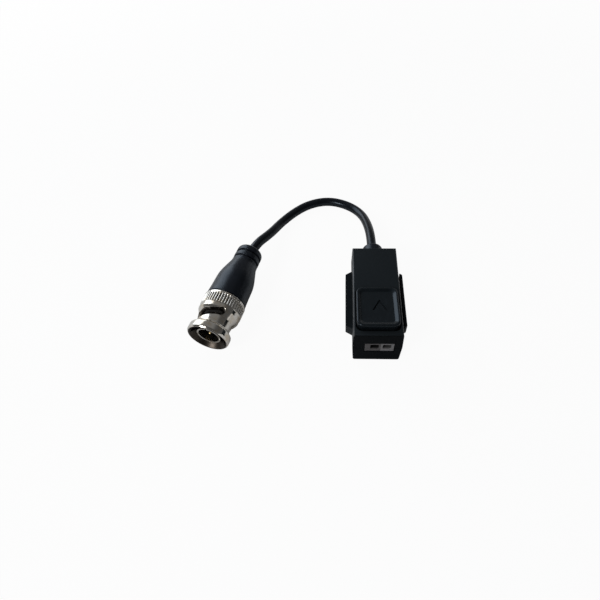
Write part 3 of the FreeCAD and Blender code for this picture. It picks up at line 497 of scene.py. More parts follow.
nickel_finish = turned_metal("nickel", NICKEL, 0.13)
nut_finish = turned_metal("nut nickel", NICKEL, 0.13, recess=nut_recess)
sleeve_finish = turned_metal("sleeve nickel", SHADED_NICKEL, 0.22, recess=sleeve_recess, dull_and_shaded=DEEP_SHADE_BROWN)
gold_finish = turned_metal("gold contact", (0.95, 0.74, 0.38), 0.20, 0.05, 0.001)
tin_finish = plain_metal("tinned copper", (0.72, 0.70, 0.68), 0.32, 0.3, 0.004)
steel_finish = plain_metal("spring steel", (0.50, 0.49, 0.47), 0.28, 0.25, 0.002)
copper_finish = plain_metal("winding copper", (0.72, 0.26, 0.10), 0.24, 0.3, 0.01)
print("metals", nickel_finish.name, gold_finish.name, steel_finish.name)

# %% [markdown]
# The terminal's two poles are pale mouldings, and their wire entries go dark behind the front face, where
# no light reaches. The small parts inside are seen only when the box is opened, but each still has its
# own finish: woven glass shows through the green board, ferrite is a grey grit, ceramic is speckled, and
# the resistor carries no print at all.

# %% Insulators and small parts
WEAVE = 0.6
ENTRY_DARKENS = (0.12, 0.7)
TERMINAL_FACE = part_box("terminal_pole_left")[0][1] / MM
DARK_GREYS = (0.060, 0.056, 0.058), (0.080, 0.074, 0.076)
LIGHT_GREYS = (0.155, 0.152, 0.160), (0.195, 0.190, 0.196)


def speckled(name, colour, second, roughness, size, depth, entry=None):
    """A moulded or fired solid: two close colours in spots `size` mm across, and a fine relief.

    A piece with an entry goes to the entry's grey a little behind the terminal's face."""
    finish = Finish(name, colour, roughness)
    spots = finish.noise(size, 4.0)
    tint = blend(smooth(spots, 0.42, 0.62), colour, second)
    if entry is not None:
        behind = three_parts(finish.mapped(centre=(0, TERMINAL_FACE, 0)))[1] / MM
        tint = blend(smooth(behind, *ENTRY_DARKENS), tint, (entry,) * 3)
    finish.set("Base Color", tint)
    finish.set("Roughness", roughness + (spots - 0.5) * 0.25)
    finish.relief(spots, depth)
    return finish.material


def board_finish_of(name):
    """Green solder mask over a plain weave: two sine waves crossed, as sin x times sin y."""
    finish = Finish(name, (0.012, 0.09, 0.035), 0.35)
    along, across, _ = three_parts(finish.places)
    thread = 2 * math.pi / (WEAVE * MM)
    shade = smooth((along * thread).sine() * (across * thread).sine(), -0.6, 0.8)
    finish.set("Base Color", blend(shade, (0.010, 0.075, 0.028), (0.020, 0.13, 0.050)))
    finish.relief(shade, 0.004)
    return finish.material


terminal_dark_finish = speckled("terminal dark", *DARK_GREYS, 0.48, 0.5, 0.006, 0.006)
terminal_light_finish = speckled("terminal light", *LIGHT_GREYS, 0.45, 0.5, 0.006, 0.060)
dark_finish = speckled("dark dielectric", (0.012, 0.011, 0.010), (0.022, 0.020, 0.018), 0.4, 0.3, 0.004)
white_finish = speckled("fluoropolymer", (0.74, 0.73, 0.70), (0.80, 0.79, 0.77), 0.45, 0.8, 0.004)
seal_finish = speckled("silicone seal", (0.026, 0.025, 0.024), (0.036, 0.034, 0.033), 0.55, 0.4, 0.004)
ferrite_finish = speckled("ferrite", (0.035, 0.033, 0.034), (0.075, 0.072, 0.070), 0.6, 0.15, 0.010)
ceramic_finish = speckled("ceramic", (0.50, 0.50, 0.47), (0.62, 0.62, 0.58), 0.3, 0.25, 0.004)
capacitor_finish = speckled("capacitor body", (0.40, 0.26, 0.14), (0.48, 0.32, 0.19), 0.4, 0.2, 0.006)
resistor_finish = speckled("resistor body", (0.030, 0.030, 0.034), (0.050, 0.050, 0.056), 0.35, 0.2, 0.004)
board_finish = board_finish_of("board laminate")
print("finishes so far", len(bpy.data.materials))


# %% [markdown]
# A new piece rides on a body, stands for the plain solid that it was made from, and has a finish. One
# helper says all of that.

# %% Dressing a piece
def dress(piece, body, slot, finish, *nodes):
    """Makes a piece ride on its body, take its finish, and stand for its CAD nodes; the slot is not used."""
    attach(piece, body)
    if nodes:
        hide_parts(*nodes)
    piece.data.materials.append(finish)
    print(piece.name, "faces", len(piece.data.polygons))


lead.data.materials.append(jacket_finish)

# %% [markdown]
# The boot is a vinyl moulding: a straight grip behind the nut, a shoulder, a cone, and a neck with two
# grooves that let it flex. Seen in profile it is one closed outline, so it is turned like a metal part.
# The soft mould leaves no sharp corner, and so every corner of the outline is rounded.

# %% Boot
BOOT_OUTLINE = [
    (15.75, 5.0), (15.75, 7.2), (19.5, 7.0), (25.6, 6.9), (33.0, 4.9),
    (34.2, 4.9), (34.3, 4.3), (35.0, 4.3), (35.1, 4.9),
    (36.9, 4.9), (37.0, 4.3), (37.7, 4.3), (37.8, 4.9),
    (40.5, 4.85), (40.5, 1.82), (35.3, 1.82), (35.3, 2.6), (24.0, 2.6), (24.0, 5.0),
]
BOOT_ROUNDS = [
    0.02, 0.3, 1.5, 2.4, 0.6,
    0.25, 0.12, 0.12, 0.25,
    0.25, 0.12, 0.12, 0.25,
    1.5, 0.25, 0.05, 0.05, 0.05, 0.05,
]
boot = skin("boot", [turned(rounded(BOOT_OUTLINE, BOOT_ROUNDS, 9), 160)])
dress(boot, "housing", "boot_vinyl", vinyl_finish, "plug_boot")

# %% [markdown]
# The bayonet nut is the piece that the eye goes to, and it is modelled as the lathe and the cutter left
# it: a cupped flange, a slim neck, a barrel and a knurled grip. Two cam slots climb round the barrel to
# a round rest for the stud. A slot is a hole in the wall, so the wall is split there into a front skin
# and a back skin, whose last rows follow the two edges of the slot and meet where there is none. The
# outline has a point where the knurl reaches its depth, leaves it and ends, so that each has its own row.

# %% Outline of the cam slots
SLOT_HALF = 1.15
SLOT_FROM = (math.radians(70.0), 5.0)
SLOT_TO = (math.radians(-28.0), 8.2)
REST_RADIUS = 1.25
MEAN_RADIUS = 6.5
SLOT_EDGE = 0.07
slot_first = SLOT_TO[0] - REST_RADIUS / MEAN_RADIUS
slot_last = SLOT_FROM[0] + SLOT_HALF / MEAN_RADIUS
slot_middle = (slot_first + slot_last) / 2
HAIR = 5e-6


def folded(angle):
    """The same angle on the first slot's half turn, because the second slot is the first, half a turn on."""
    return (angle - slot_middle + np.pi / 2) % np.pi - np.pi / 2 + slot_middle


def slot_edges(angle):
    """Front and back edge of the slot at each angle, and whether there is one.

    The slot is the union of a straight band of half-width h along its rising middle line, a disc of
    radius h at its start, and a larger disc at its end where the stud rests."""
    turn = folded(angle)
    middle = np.interp(turn, [SLOT_TO[0], SLOT_FROM[0]], [SLOT_TO[1], SLOT_FROM[1]])
    gap = slot_first + np.pi - slot_last
    past = np.where(turn > slot_last, (turn - slot_last) / gap, 1 - (slot_first - turn) / gap)
    between = SLOT_FROM[1] + (SLOT_TO[1] - SLOT_FROM[1]) * past
    middle = np.where((turn > slot_last) | (turn < slot_first), between, middle)
    arc_from = (turn - SLOT_FROM[0]) * MEAN_RADIUS
    arc_to = (turn - SLOT_TO[0]) * MEAN_RADIUS
    band = np.where((arc_from <= 0) & (arc_to >= 0), SLOT_HALF, 0.0)
    start = np.sqrt(np.clip(SLOT_HALF**2 - arc_from**2, 0, None))
    rest = np.sqrt(np.clip(REST_RADIUS**2 - arc_to**2, 0, None))
    straight = np.maximum(band, start)
    half_front = np.maximum(straight, rest - (SLOT_TO[1] - middle))
    half_back = np.maximum(straight, rest + (SLOT_TO[1] - middle))
    inside = (turn > slot_first + HAIR) & (turn < slot_last - HAIR)
    return middle - half_front * inside, middle + half_back * inside, inside


print("each slot spans", round(math.degrees(slot_last - slot_first)), "degrees")

# %% Columns and radii of the nut
KNURLS = 48
KNURL_STEPS = 10
KNURL_DEPTH = 0.32
KNURL_POWER = 1.5
KNURL_ENDS = (10.8, 14.55)
KNURL_FADES = (0.3, 0.25)
GROOVE_FLOOR = 5.6
GROOVE_HALF = 1.1 / 5.3
GROOVE_SIDE = 0.002
NUT_OUTSIDE = [
    (0.0, 6.9), (0.45, 7.3), (2.6, 7.3), (3.7, 6.0), (6.8, 6.0), (9.2, 7.25), (10.6, 7.25), (10.85, 7.4),
    (11.1, 7.4), (14.3, 7.4), (14.55, 7.4), (15.2, 7.4), (15.45, 7.15),
]
NUT_OUTSIDE_ROUND = [0.0, 0.25, 0.25, 0.5, 0.5, 0.25, 0.1, 0.1, 0.0, 0.0, 0.0, 0.1, 0.0]
NUT_INSIDE = [(0.0, 6.65), (0.15, 6.5), (2.2, 4.95), (9.85, 4.95), (9.95, 6.1), (15.35, 6.1), (15.45, 6.2)]
NUT_INSIDE_ROUND = [0.0, 0.06, 0.2, 0.03, 0.03, 0.03, 0.0]


def around_the_nut():
    """Angles of the columns: even steps over the knurls, close ones at a slot's ends, and stud grooves."""
    knurls = np.arange(KNURLS * KNURL_STEPS) * 2 * np.pi / (KNURLS * KNURL_STEPS)
    fan = (1 - np.cos(np.linspace(0, np.pi / 2, 8))) / MEAN_RADIUS
    ends = np.concatenate([slot_first + fan * REST_RADIUS, slot_last - fan * SLOT_HALF])
    sides = GROOVE_HALF + np.array([0.0, GROOVE_SIDE])
    special = np.concatenate([ends, SLOT_FROM[0] - sides, SLOT_FROM[0] + sides])
    every = np.concatenate([knurls, special, special + np.pi]) % (2 * np.pi)
    return np.unique(every.round(6))


nut_angles = around_the_nut()
edge_front, edge_back, in_slot = slot_edges(nut_angles)
outside = rounded(NUT_OUTSIDE, NUT_OUTSIDE_ROUND, 4)
inside = rounded(NUT_INSIDE, NUT_INSIDE_ROUND, 4)


def outer_radius(along, angle):
    """Radius of the outline at this distance, less the knurl, which fades in and out at its ends.

    The knurl's depth is a power of a raised cosine of the angle, so its ridges are broad and round."""
    radius = np.interp(along, outside[:, 0], outside[:, 1])
    cut = KNURL_DEPTH * (0.5 + 0.5 * np.cos(angle * KNURLS)) ** KNURL_POWER
    fade_in = np.clip((along - KNURL_ENDS[0]) / KNURL_FADES[0], 0, 1)
    fade_out = np.clip((KNURL_ENDS[1] - along) / KNURL_FADES[1], 0, 1)
    return radius - cut * fade_in * fade_out


def inner_radius(along, angle):
    """Radius of the bore at this distance, or of the groove that lets a stud in, where that is deeper."""
    radius = np.interp(along, inside[:, 0], inside[:, 1])
    offset = np.abs(folded(angle) - SLOT_FROM[0])
    groove = np.where((offset <= GROOVE_HALF + 2 * HAIR) & (along < SLOT_FROM[1]), GROOVE_FLOOR, 0.0)
    return np.maximum(radius, groove)


print("nut has", len(nut_angles), "columns")

# %% Nut
def on_wall(along, radius_of, less=0.0, angle=nut_angles):
    """Places on one side of the wall, `less` mm nearer the axis than its radius there."""
    return on_plug(along, angle, radius_of(along, angle) - less)


def wall_skins(profile, radius_of, edge_cut):
    """Front and back skin of one side of the wall: rows at the profile's distances, then the slot's edge.

    The last row before the edge stops `edge_cut` mm short of it, and the edge is as much lower."""
    along = np.unique(profile[:, 0].round(5))[:, None]
    cut = edge_cut * in_slot
    front = on_wall(np.minimum(along, edge_front - cut), radius_of)
    back = on_wall(np.maximum(along, edge_back + cut), radius_of)
    lip_front = on_wall(edge_front, radius_of, cut)[None]
    lip_back = on_wall(edge_back, radius_of, cut)[None]
    return [(np.concatenate([front, lip_front]), True), (np.concatenate([lip_back, back]), True)]


def ring_strip(along):
    """A flat ring across the end of the wall, from the outside to the bore."""
    return np.stack([on_wall(along, outer_radius), on_wall(along, inner_radius)]), True


def slot_walls():
    """The walls of the two slots: straight lines from the outer edge in to the bore, at each angle."""
    half = (slot_last - slot_first) / 2
    walls = []
    for start in (0.0, np.pi):
        turn = (nut_angles - start - slot_middle + np.pi) % (2 * np.pi) - np.pi
        chosen = np.flatnonzero(np.abs(turn) <= half + 2 * HAIR)
        chosen = chosen[np.argsort(turn[chosen])]
        angle = nut_angles[chosen]
        for edge in (edge_front[chosen], edge_back[chosen]):
            outer = on_wall(edge, outer_radius, SLOT_EDGE * in_slot[chosen], angle)
            inner = on_wall(edge, inner_radius, 0.0, angle)
            walls.append((np.stack([outer, inner]), False))
    return walls


def nut_grids():
    """The outside, the bore, the two end rings and the slot walls."""
    return [
        *wall_skins(outside, outer_radius, SLOT_EDGE),
        *wall_skins(inside, inner_radius, 0.0),
        ring_strip(NUT_OUTSIDE[0][0]),
        ring_strip(NUT_OUTSIDE[-1][0]),
        *slot_walls(),
    ]


nut = skin("bayonet_nut", nut_grids(), crease=28.0)
dress(nut, "nut", "nickel", nut_finish, "coupling_nut")

# %% [markdown]
# Inside the nut stands the sleeve that meets the socket. Four slits let it spring, the gold pin stands
# in its middle, and the insulator behind it looks dark, because little light reaches it. The pin is a
# turned piece with a rounded point.

# %% Pin and insulator
PIN_OUTLINE = [(1.9, 0.0), (1.9, 0.30), (2.9, 0.68), (13.0, 0.68), (13.0, 0.0)]
pin = skin("contact_pin", [turned(rounded(PIN_OUTLINE, [0.0, 0.2, 0.35, 0.05, 0.0], 6), 48)])
dress(pin, "housing", "gold_contact", gold_finish, "centre_pin")
INSULATOR_OUTLINE = [(5.5, 0.8), (5.5, 3.48), (12.9, 3.48), (12.9, 0.8)]
insulator = skin("dielectric", [turned(rounded(INSULATOR_OUTLINE, 0.12, 4), 96)])
dress(insulator, "housing", "fluoropolymer", dark_finish, "insulator")

# %% [markdown]
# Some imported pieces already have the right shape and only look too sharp, because no moulded or machined
# edge is a perfect corner. Such a piece is copied, its loose triangles are welded, flat areas become
# single faces, and a narrow bevel rounds the edges that show, so that each catches a thin line of light.

# %% Copies with soft edges
BOX_SIDE = 7.75
BOX_END = 18.65
BOX_TOP = 15.27
BOX_BASE = 0.03
UPPER_EDGE_SIDE = 7.4
UPPER_EDGE_LENGTH = 4.0
TERMINAL_FRONT = -18.35
SHARP_FROM = math.radians(35.0)
FLAT_TO = math.radians(0.6)
SHADED_TO = math.radians(28.0)
SEAM = 0.002
LESSER_BEVEL = 0.3


def on_the_outside(place):
    """True on the box's outer faces: its two sides with their rails, its ends, its top and its base."""
    x, y, z = (abs(part) / MM for part in place)
    return x > BOX_SIDE or y > BOX_END or z > BOX_TOP or z < BOX_BASE


def at_the_front(place):
    """True on the face of the terminal that shows in the box's window."""
    return place[1] < TERMINAL_FRONT * MM


def anywhere(place):
    """True everywhere, for a piece that has no hidden side."""
    return True


def along_the_top(edge):
    """True for the long upper edges of the box's two sides, which are moulded rounder than the rest."""
    first, second = (np.array(corner.co) / MM for corner in edge.verts)
    at_side = min(abs(first[0]), abs(second[0])) > UPPER_EDGE_SIDE and min(first[2], second[2]) > BOX_TOP
    return at_side and abs(first[1] - second[1]) > UPPER_EDGE_LENGTH


def soft_copy(name, node_name, width, chosen=anywhere):
    """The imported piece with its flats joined, and its chosen convex edges bevelled.

    The bevel is `width` mm wide along the box's upper edges, and three tenths of that elsewhere."""
    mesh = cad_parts[node_name].data.copy()
    mesh.name = name
    mesh.materials.clear()
    shape = bmesh.new()
    shape.from_mesh(mesh)
    bmesh.ops.remove_doubles(shape, verts=shape.verts, dist=SEAM * MM)
    bmesh.ops.dissolve_limit(shape, angle_limit=FLAT_TO, verts=shape.verts, edges=shape.edges)
    weight = shape.edges.layers.float.new("bevel_weight_edge")
    for edge in shape.edges:
        sharp = edge.is_convex and edge.calc_face_angle(0.0) > SHARP_FROM
        if sharp and all(chosen(corner.co) for corner in edge.verts):
            edge[weight] = 1.0 if along_the_top(edge) else LESSER_BEVEL
    shape.to_mesh(mesh)
    shape.free()
    mesh.shade_smooth()
    mesh.set_sharp_from_angle(angle=SHADED_TO)
    piece = linked(name, mesh)
    if width:
        edges = piece.modifiers.new("soft edges", "BEVEL")
        edges.width = width * MM
        edges.segments = 2
        edges.limit_method = "WEIGHT"
        edges.use_clamp_overlap = False
        edges.harden_normals = True
    return piece


SOFT_COPIES = [
    ("lower_case", "lower_shell", 0.5, on_the_outside, "housing_plastic", housing_finish),
    ("upper_case", "upper_shell", 0.5, on_the_outside, "housing_plastic", housing_finish),
    ("pole_left", "terminal_pole_left", 0.27, at_the_front, "terminal_dark", terminal_dark_finish),
    ("pole_right", "terminal_pole_right", 0.27, at_the_front, "terminal_light", terminal_light_finish),
    ("spring_sleeve", "plug_shell", 0.17, anywhere, "nickel", sleeve_finish),
]
for name, node_name, width, chosen, slot, finish in SOFT_COPIES:
    dress(soft_copy(name, node_name, width, chosen), "housing", slot, finish, node_name)

# %% [markdown]
# The lever is a moulded cap with a shallow dish for the finger and an arrow sunk into it. From above it
# is a stack of rounded rectangles, each a little smaller than the last, so one walk round a square makes
# every ring. Inside the last ring a finer grid holds the arrow, pressed in with sides that slope softly.

# %% Rings of a rounded rectangle
SIDE_STEPS = 100


def square_walk(steps):
    """Points round the square from -1 to 1, `steps` a side, starting at one corner."""
    t = np.linspace(-1, 1, steps, endpoint=False)
    one = np.ones(steps)
    sides = [(t, -one), (one, t), (-t, one), (-one, -t)]
    return np.concatenate([np.stack(side, axis=1) for side in sides])


def rounded_ring(half_x, half_y, corner, height, middle_y=0.0, steps=SIDE_STEPS):
    """The walk stretched to the half sizes; a point within `corner` of a corner moves on to its arc.

    How far the point is past the start of the arc gives its angle there, up to 45 degrees at the corner."""
    size = np.array([half_x, half_y])
    walk = square_walk(steps)
    place = np.abs(walk) * size
    corner = max(corner, 1e-6)
    past = np.clip((place - size + corner) / corner, 0, 1)
    across = past[:, 1] >= 1 - 1e-9
    angle = np.where(across, past[:, 0], past[:, 1]) * np.pi / 4
    straight = np.minimum(place, size - corner)
    long_way = corner * np.sin(angle)
    short_way = corner * np.cos(angle)
    x = np.where(across, straight[:, 0] + long_way, half_x - corner + short_way)
    y = np.where(across, half_y - corner + short_way, straight[:, 1] + long_way)
    x, y = np.stack([x, y]) * np.sign(walk).T
    return np.stack([x, y + middle_y, np.full(len(x), height)], axis=1)


def block(low, high, edge, steps=8):
    """A closed box between two corners with rounded edges: rings of its plan from one end to the other."""
    low, high = np.array(low), np.array(high)
    middle = (low + high) / 2
    half = (high - low) / 2
    turn = np.linspace(0, np.pi / 2, 4)
    from_low, to_high = edge * (1 - np.cos(turn)), edge * (1 - np.sin(turn))
    insets = np.concatenate([[half[0]], to_high, from_low, [half[0]]])
    heights = np.concatenate([[low[2]], low[2] + from_low, high[2] - to_high, [high[2]]])
    rings = [rounded_ring(half[0] - inset, max(half[1] - inset, 0), max(edge - inset, 0), height, 0.0, steps)
             for inset, height in zip(insets, heights)]
    return np.stack(rings) + [middle[0], middle[1], 0], True


print("points of a ring:", len(rounded_ring(2.0, 1.0, 0.5, 0.0)))

# %% Cap of the lever
LEVER_HALF = (6.9, 8.05)
LEVER_MIDDLE = -10.05
LEVER_TOP = 3.2
LEVER_CORNER = 2.2
LEVER_WALL = 1.2
LEVER_CEILING = 1.7
LEVER_ROUND = 0.45
DISH_BORDER = 0.5
DISH_SLOPE = 1.35
DISH_DEPTH = 0.65
DISH_CORNER = 1.9
DISH_TIGHTENS = 0.6
PLATE_HEIGHT = LEVER_TOP - DISH_DEPTH
PLATE_MIDDLE = -9.1
PLATE_HALF = 3.2
ARROW_CENTRE = 0.7
ARROW_APEX = -6.9
ARROW_NOTCH = -8.1
ARROW_TAIL = -11.3
ARROW_SPREAD = 2.4
NOTCH_SPREAD = 1.8
ARROW_SLANT = 0.88
ARROW_DEPTH = 0.42
ARROW_STEP = 0.13
ARROW_STEP_OUTSIDE = 0.05


def lever_ring(inset, height, corner):
    """The cap's plan, drawn in on every side by the inset."""
    return rounded_ring(LEVER_HALF[0] - inset, LEVER_HALF[1] - inset, corner, height, LEVER_MIDDLE)


def arrow_depth(x, y):
    """Depth of the arrow: full inside its two strokes, with a soft step at their edges.

    The strokes lie between two wedges, one from the apex and one from the notch, that both end at the
    tail. The distance to a wedge's side is the distance across, times the cosine of its slant."""
    aside = np.abs(x - ARROW_CENTRE)
    outer = (ARROW_SPREAD * (ARROW_APEX - y) / (ARROW_APEX - ARROW_TAIL) - aside) * ARROW_SLANT
    inner = (aside - NOTCH_SPREAD * (ARROW_NOTCH - y) / (ARROW_NOTCH - ARROW_TAIL)) * ARROW_SLANT
    inside_by = np.minimum(np.minimum(outer, inner), y - ARROW_TAIL)
    share = np.clip((inside_by + ARROW_STEP_OUTSIDE) / ARROW_STEP, 0, 1)
    return ARROW_DEPTH * share * share * (3 - 2 * share)


def lever_cap():
    """Rings from a line in the hollow's ceiling, down its wall, up the skirt, over the rim, into the dish."""
    inner_corner = LEVER_CORNER - LEVER_WALL
    rings = [
        rounded_ring(0.0, 1.1, 0.0, LEVER_CEILING, LEVER_MIDDLE),
        lever_ring(LEVER_WALL + 0.15, LEVER_CEILING, inner_corner),
        lever_ring(LEVER_WALL, LEVER_CEILING - 0.15, inner_corner),
        lever_ring(LEVER_WALL, 0.1, inner_corner),
        lever_ring(LEVER_WALL - 0.1, 0.0, inner_corner + 0.1),
        lever_ring(0.12, 0.0, LEVER_CORNER - 0.1),
        lever_ring(0.0, 0.12, LEVER_CORNER),
    ]
    for angle in np.linspace(0, np.pi / 2, 6):
        inset = LEVER_ROUND * (1 - math.cos(angle))
        height = LEVER_TOP - LEVER_ROUND * (1 - math.sin(angle))
        rings.append(lever_ring(inset, height, LEVER_CORNER - inset))
    for share in np.linspace(0, 1, 13):
        height = LEVER_TOP - DISH_DEPTH * share**2 * (3 - 2 * share)
        corner = DISH_CORNER - DISH_TIGHTENS * share
        rings.append(lever_ring(DISH_BORDER + DISH_SLOPE * share, height, corner))
    rings.append(rounded_ring(PLATE_HALF, PLATE_HALF, 0.0, PLATE_HEIGHT, PLATE_MIDDLE))
    steps = np.linspace(-PLATE_HALF, PLATE_HALF, SIDE_STEPS + 1)
    x, y = np.meshgrid(steps, steps + PLATE_MIDDLE)
    plate = np.stack([x, y, PLATE_HEIGHT - arrow_depth(x, y)], axis=-1)
    return [(np.stack(rings), True), (plate, False)]


print("dish", DISH_DEPTH, "mm deep, arrow", ARROW_DEPTH, "mm below it")

# %% Lever
PUSHER = (-0.8, -14.1, -1.3), (0.8, -12.7, 1.9)
PUSHER_MIDDLES = (-0.875, 3.175)
TONGUE = (-3.6, -2.5, -0.6), (3.6, 0.0, 0.6)
BARREL = [(-5.2, 0.0), (-5.2, 0.65), (-5.05, 0.8), (5.05, 0.8), (5.2, 0.65), (5.2, 0.0)]
LEVER_TILT = math.radians(-3.6)
LEVER_PIVOT = np.array([0.0, 1.6, 13.0])


def on_lever(points):
    """Places drawn about the hinge axis, leaned back by the rest angle and carried to the pivot."""
    x, y, z = np.moveaxis(points, -1, 0)
    cosine, sine = math.cos(LEVER_TILT), math.sin(LEVER_TILT)
    return np.stack([x, y * cosine - z * sine, y * sine + z * cosine], axis=-1) + LEVER_PIVOT


def lever_parts():
    """The cap, the two pushers, the hinge tongue and the hinge barrel, all placed on the lever."""
    grids = lever_cap()
    grids += [block(*(np.array(PUSHER) + (x, 0, 0)), 0.15) for x in PUSHER_MIDDLES]
    grids += [block(*TONGUE, 0.1)]
    turn = np.linspace(0, 2 * np.pi, 40, endpoint=False)
    barrel = np.array(BARREL)
    x, radius = barrel[:, 0, None] + 0 * turn, barrel[:, 1, None]
    grids += [(np.stack([x, radius * np.cos(turn), radius * np.sin(turn)], axis=-1), True)]
    return [(on_lever(points), closed) for points, closed in grids]


lever = skin("lever", lever_parts(), crease=40.0)
dress(lever, "press_lever", "lever_plastic", lever_finish, "press_lever")

# %% [markdown]
# No finger reaches the arrow's bottom, so it keeps the tool's rough face and mirrors hardly any light, and
# its colour is darkened to near black there, a painted shade in the groove. It is found in the lever's own
# directions: near the arrow's middle, and below the plate.

# %% Bottom of the arrow
ARROW_ASIDE = (2.9, 3.1)
ARROW_ALONG = (3.1, 3.3)
ARROW_BELOW = (PLATE_HEIGHT - 0.22, PLATE_HEIGHT - 0.06)
ARROW_PAINTED_SHADE = (0.0008, 0.0010, 0.0012)
aside, along, up = (part / MM for part in three_parts(lever_plastic.mapped(LEVER_PIVOT, (-LEVER_TILT, 0, 0))))
beyond = smooth(abs(aside - ARROW_CENTRE), *ARROW_ASIDE), smooth(abs(along - PLATE_MIDDLE), *ARROW_ALONG)
sunk_rough_and_shaded = (1.0 - beyond[0]) * (1.0 - beyond[1]) * (1.0 - smooth(up, *ARROW_BELOW))
# Painted shade: the arrow's bottom is darkened to near black, and made rougher.
lever_plastic.set("Base Color", blend(sunk_rough_and_shaded, lever_plastic.wired("Base Color"), ARROW_PAINTED_SHADE))
lever_plastic.set("Roughness", lever_plastic.wired("Roughness") + sunk_rough_and_shaded * 0.45)
print("arrow is black below", ARROW_BELOW, "mm")

# %% [markdown]
# A small web closes the near end of the left rail's groove. Its near face leans back by as much as the
# rail's end does.

# %% Web in the left rail
RAIL_LEAN = 0.65
RAIL_ROOT = -8.15
WEB = (-9.45, -12.15, 4.75), (-8.05, -11.35, 7.85)
web_points, web_closed = block(*WEB, 0.1)
web_points[..., 1] += (RAIL_ROOT - web_points[..., 0]) * RAIL_LEAN
web = skin("rail_web", [(web_points, web_closed)])
dress(web, "housing", "housing_plastic", housing_finish)

# %% [markdown]
# Where the lead enters the box, a short moulded sleeve keeps it from bending sharply. It is a taper with
# a domed end, and a flange inside the wall holds it, so it is turned about the lead's own axis.

# %% Strain relief
LEAD_HEIGHT = LEAD_ROUTE[0][2]
RELIEF_OUTLINE = [
    (16.5, 1.95), (16.5, 3.8), (17.4, 3.8), (17.4, 2.7),
    (18.75, 2.7), (18.75, 4.0), (25.2, 3.85), (25.2, 1.95),
]
RELIEF_ROUNDS = [0.05, 0.15, 0.15, 0.05, 0.05, 0.3, 1.0, 0.1]


def on_lead(y, angle, radius):
    """Places round the line along y at the lead's height."""
    y, angle, radius = np.broadcast_arrays(y, angle, radius)
    return np.stack([radius * np.sin(angle), y, LEAD_HEIGHT + radius * np.cos(angle)], axis=-1)


relief = skin("lead_sleeve", [turned(rounded(RELIEF_OUTLINE, RELIEF_ROUNDS, 9), 96, on_lead)])
dress(relief, "housing", "boot_vinyl", vinyl_finish, "strain_relief")

# %% [markdown]
# The clamp springs give way under the lever's pushers when it is pressed, and a real one flexes at its
# bend. Here each is a welded copy of its imported piece, with a mesh of its own.

# %% Clamp springs
for name, node_name in (("clamp_left", "clamp_spring_left"), ("clamp_right", "clamp_spring_right")):
    spring = soft_copy(name, node_name, 0.0)
    dress(spring, "housing", "spring_steel", steel_finish, node_name)
    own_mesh(spring)

# %% [markdown]
# The other pieces inside are hidden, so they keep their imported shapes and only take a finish.

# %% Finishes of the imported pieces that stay
KEPT_FINISHES = [
    (tin_finish, "contact_left", "contact_right", "signal_lead", "screen_lead"),
    (board_finish, "circuit_board"),
    (ferrite_finish, "choke_core"),
    (copper_finish, "choke_winding_primary", "choke_winding_secondary"),
    (ceramic_finish, "surge_arrester"),
    (capacitor_finish, "coupling_capacitor_left", "coupling_capacitor_right"),
    (resistor_finish, "termination_resistor"),
    (nickel_finish, "retaining_ring", "thrust_washer", "crimp_ferrule"),
    (steel_finish, "wave_washer"),
    (seal_finish, "sealing_gasket"),
    (white_finish, "cable_core"),
]
for finish, *names in KEPT_FINISHES:
    for name in names:
        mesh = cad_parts[name].data
        mesh.materials.clear()
        mesh.materials.append(finish)
print("kept", sum(len(row) - 1 for row in KEPT_FINISHES), "packed pieces")

# %% [markdown]
# The lead carries the pieces printed below. Its length is what the photograph shows from the box to the
# plug.

# %% What the lead carries
print("lead carries", relief.name, boot.name, nut.name, pin.name)

# %% [markdown]
# The floor is a plain white sheet. The camera sees it mostly as its own white, and metal sees it partly
# so, while the share that is left is lit, and so it is white in the picture and still keeps the object's
# shadow. Farther out no shadow falls, and there it is all white and meets the white world with no line.

# %% Floor
FLOOR_HALF = 1.5
FLOOR_WHITE = 0.86
SEEN_GLOW = 0.95
MIRRORED_GLOW = 0.10
SHADOWS_END = (0.15, 0.6)
floor_mesh = bpy.data.meshes.new("floor")
corners = np.array([(-1, -1, 0), (1, -1, 0), (1, 1, 0), (-1, 1, 0)]) * FLOOR_HALF
floor_mesh.from_pydata(corners, [], [(0, 1, 2, 3)])
floor = linked("floor", floor_mesh)
paper = Finish("white paper", (FLOOR_WHITE,) * 3, 0.9)
glow = paper.add("ShaderNodeEmission", {}, {"Color": (1, 1, 1, 1), "Strength": 1.0})


def ray_kinds(tree):
    """1 for rays from the camera, and 1 for rays that a mirror or glass sends on."""
    seen, glossy, through = (node(tree, "ShaderNodeLightPath", {}, {}, "Is %s Ray" % kind)
                             for kind in ("Camera", "Glossy", "Transmission"))
    return seen, glossy + through


seen, mirrored = ray_kinds(paper.tree)
output = next(item for item in paper.tree.nodes if item.type == "OUTPUT_MATERIAL")
lit = Wire(paper.tree, paper.shader.outputs[0])
reach = paper.add("ShaderNodeVectorMath", {"operation": "LENGTH"}, {0: paper.places}, "Value")
beyond = smooth(reach, *SHADOWS_END)
share = seen * (SEEN_GLOW + beyond * (1.0 - SEEN_GLOW)) + mirrored * MIRRORED_GLOW
mixed = paper.add("ShaderNodeMixShader", {}, {0: share, 1: lit, 2: glow})
paper.tree.links.new(mixed.socket, output.inputs["Surface"])
floor_mesh.materials.append(paper.material)
print("floor", 2 * FLOOR_HALF, "m wide")

# %% [markdown]
# Bright metal is a picture of the room, so the world is a simple room: grey overhead and behind, darker
# on the right and in front, and white along the horizon where the plain backdrop would stand.

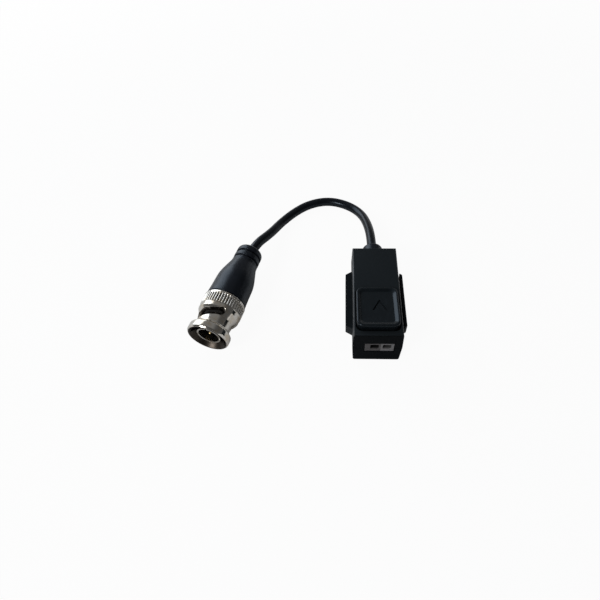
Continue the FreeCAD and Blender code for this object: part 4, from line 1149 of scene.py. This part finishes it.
# %% World
OVERHEAD = 0.20
IN_THE_DARK = 0.08
ON_THE_RIGHT = (0.45, 0.75)
BEHIND = (-0.25, 0.25)
HORIZON = (0.0, 0.14)
world = bpy.data.worlds.new("studio")
bpy.context.scene.world = world
world.use_nodes = True
sky = world.node_tree
backdrop = sky.nodes["Background"]
across, away, height = three_parts(node(sky, "ShaderNodeTexCoord", {}, {}, "Generated"))
overhead = (1.0 - smooth(across, *ON_THE_RIGHT)) * smooth(away, *BEHIND)
room = IN_THE_DARK + (OVERHEAD - IN_THE_DARK) * overhead
horizon = 1.0 - smooth(height, *HORIZON)
seen, mirrored = ray_kinds(sky)
white = seen + mirrored * horizon
strength = room + white * (1.0 - room)
sky.links.new(strength.socket, backdrop.inputs["Strength"])
backdrop.inputs["Color"].default_value = (1.0, 1.0, 1.0, 1.0)
print("room", OVERHEAD, "overhead and", IN_THE_DARK, "in the dark")

# %% [markdown]
# In the photograph a tall window on the left, behind the object, draws a white band along the plug and a
# line along the box's left edges. A large soft lamp stands there. A second one, near the camera, lights
# what faces it at a plain level, and leaves hardly a reflection, because little there faces it squarely.

# %% Lamps
def soft_lamp(name, place, aim, size, power, colour=(1, 1, 1)):
    """A rectangular area lamp at a place, facing an aim point; places in mm, power in watts."""
    light = bpy.data.lights.new(name, "AREA")
    light.shape = "RECTANGLE"
    light.size, light.size_y = (side * MM for side in size)
    light.energy = power
    light.color = colour
    place, aim = np.array(place, float), np.array(aim, float)
    back = (place - aim) / np.linalg.norm(place - aim)
    across = np.cross((0.0, 0.0, 1.0), back)
    across /= np.linalg.norm(across)
    rows = Matrix((across, np.cross(back, across), back)).transposed().to_4x4()
    linked(name, light).matrix_world = Matrix.Translation(place * MM) @ rows


soft_lamp("window", (-430, 390, 300), (-30, 0, 20), (600, 480), 2.1, (0.86, 0.93, 1.0))
soft_lamp("front_left", (-330, -330, 330), (-20, 0, 10), (180, 140), 1.2)
print("lamps", len(bpy.data.lights))

# %% [markdown]
# The last cell sets the scene's view transform.

# %% View transform
bpy.context.scene.view_settings.view_transform = "Standard"
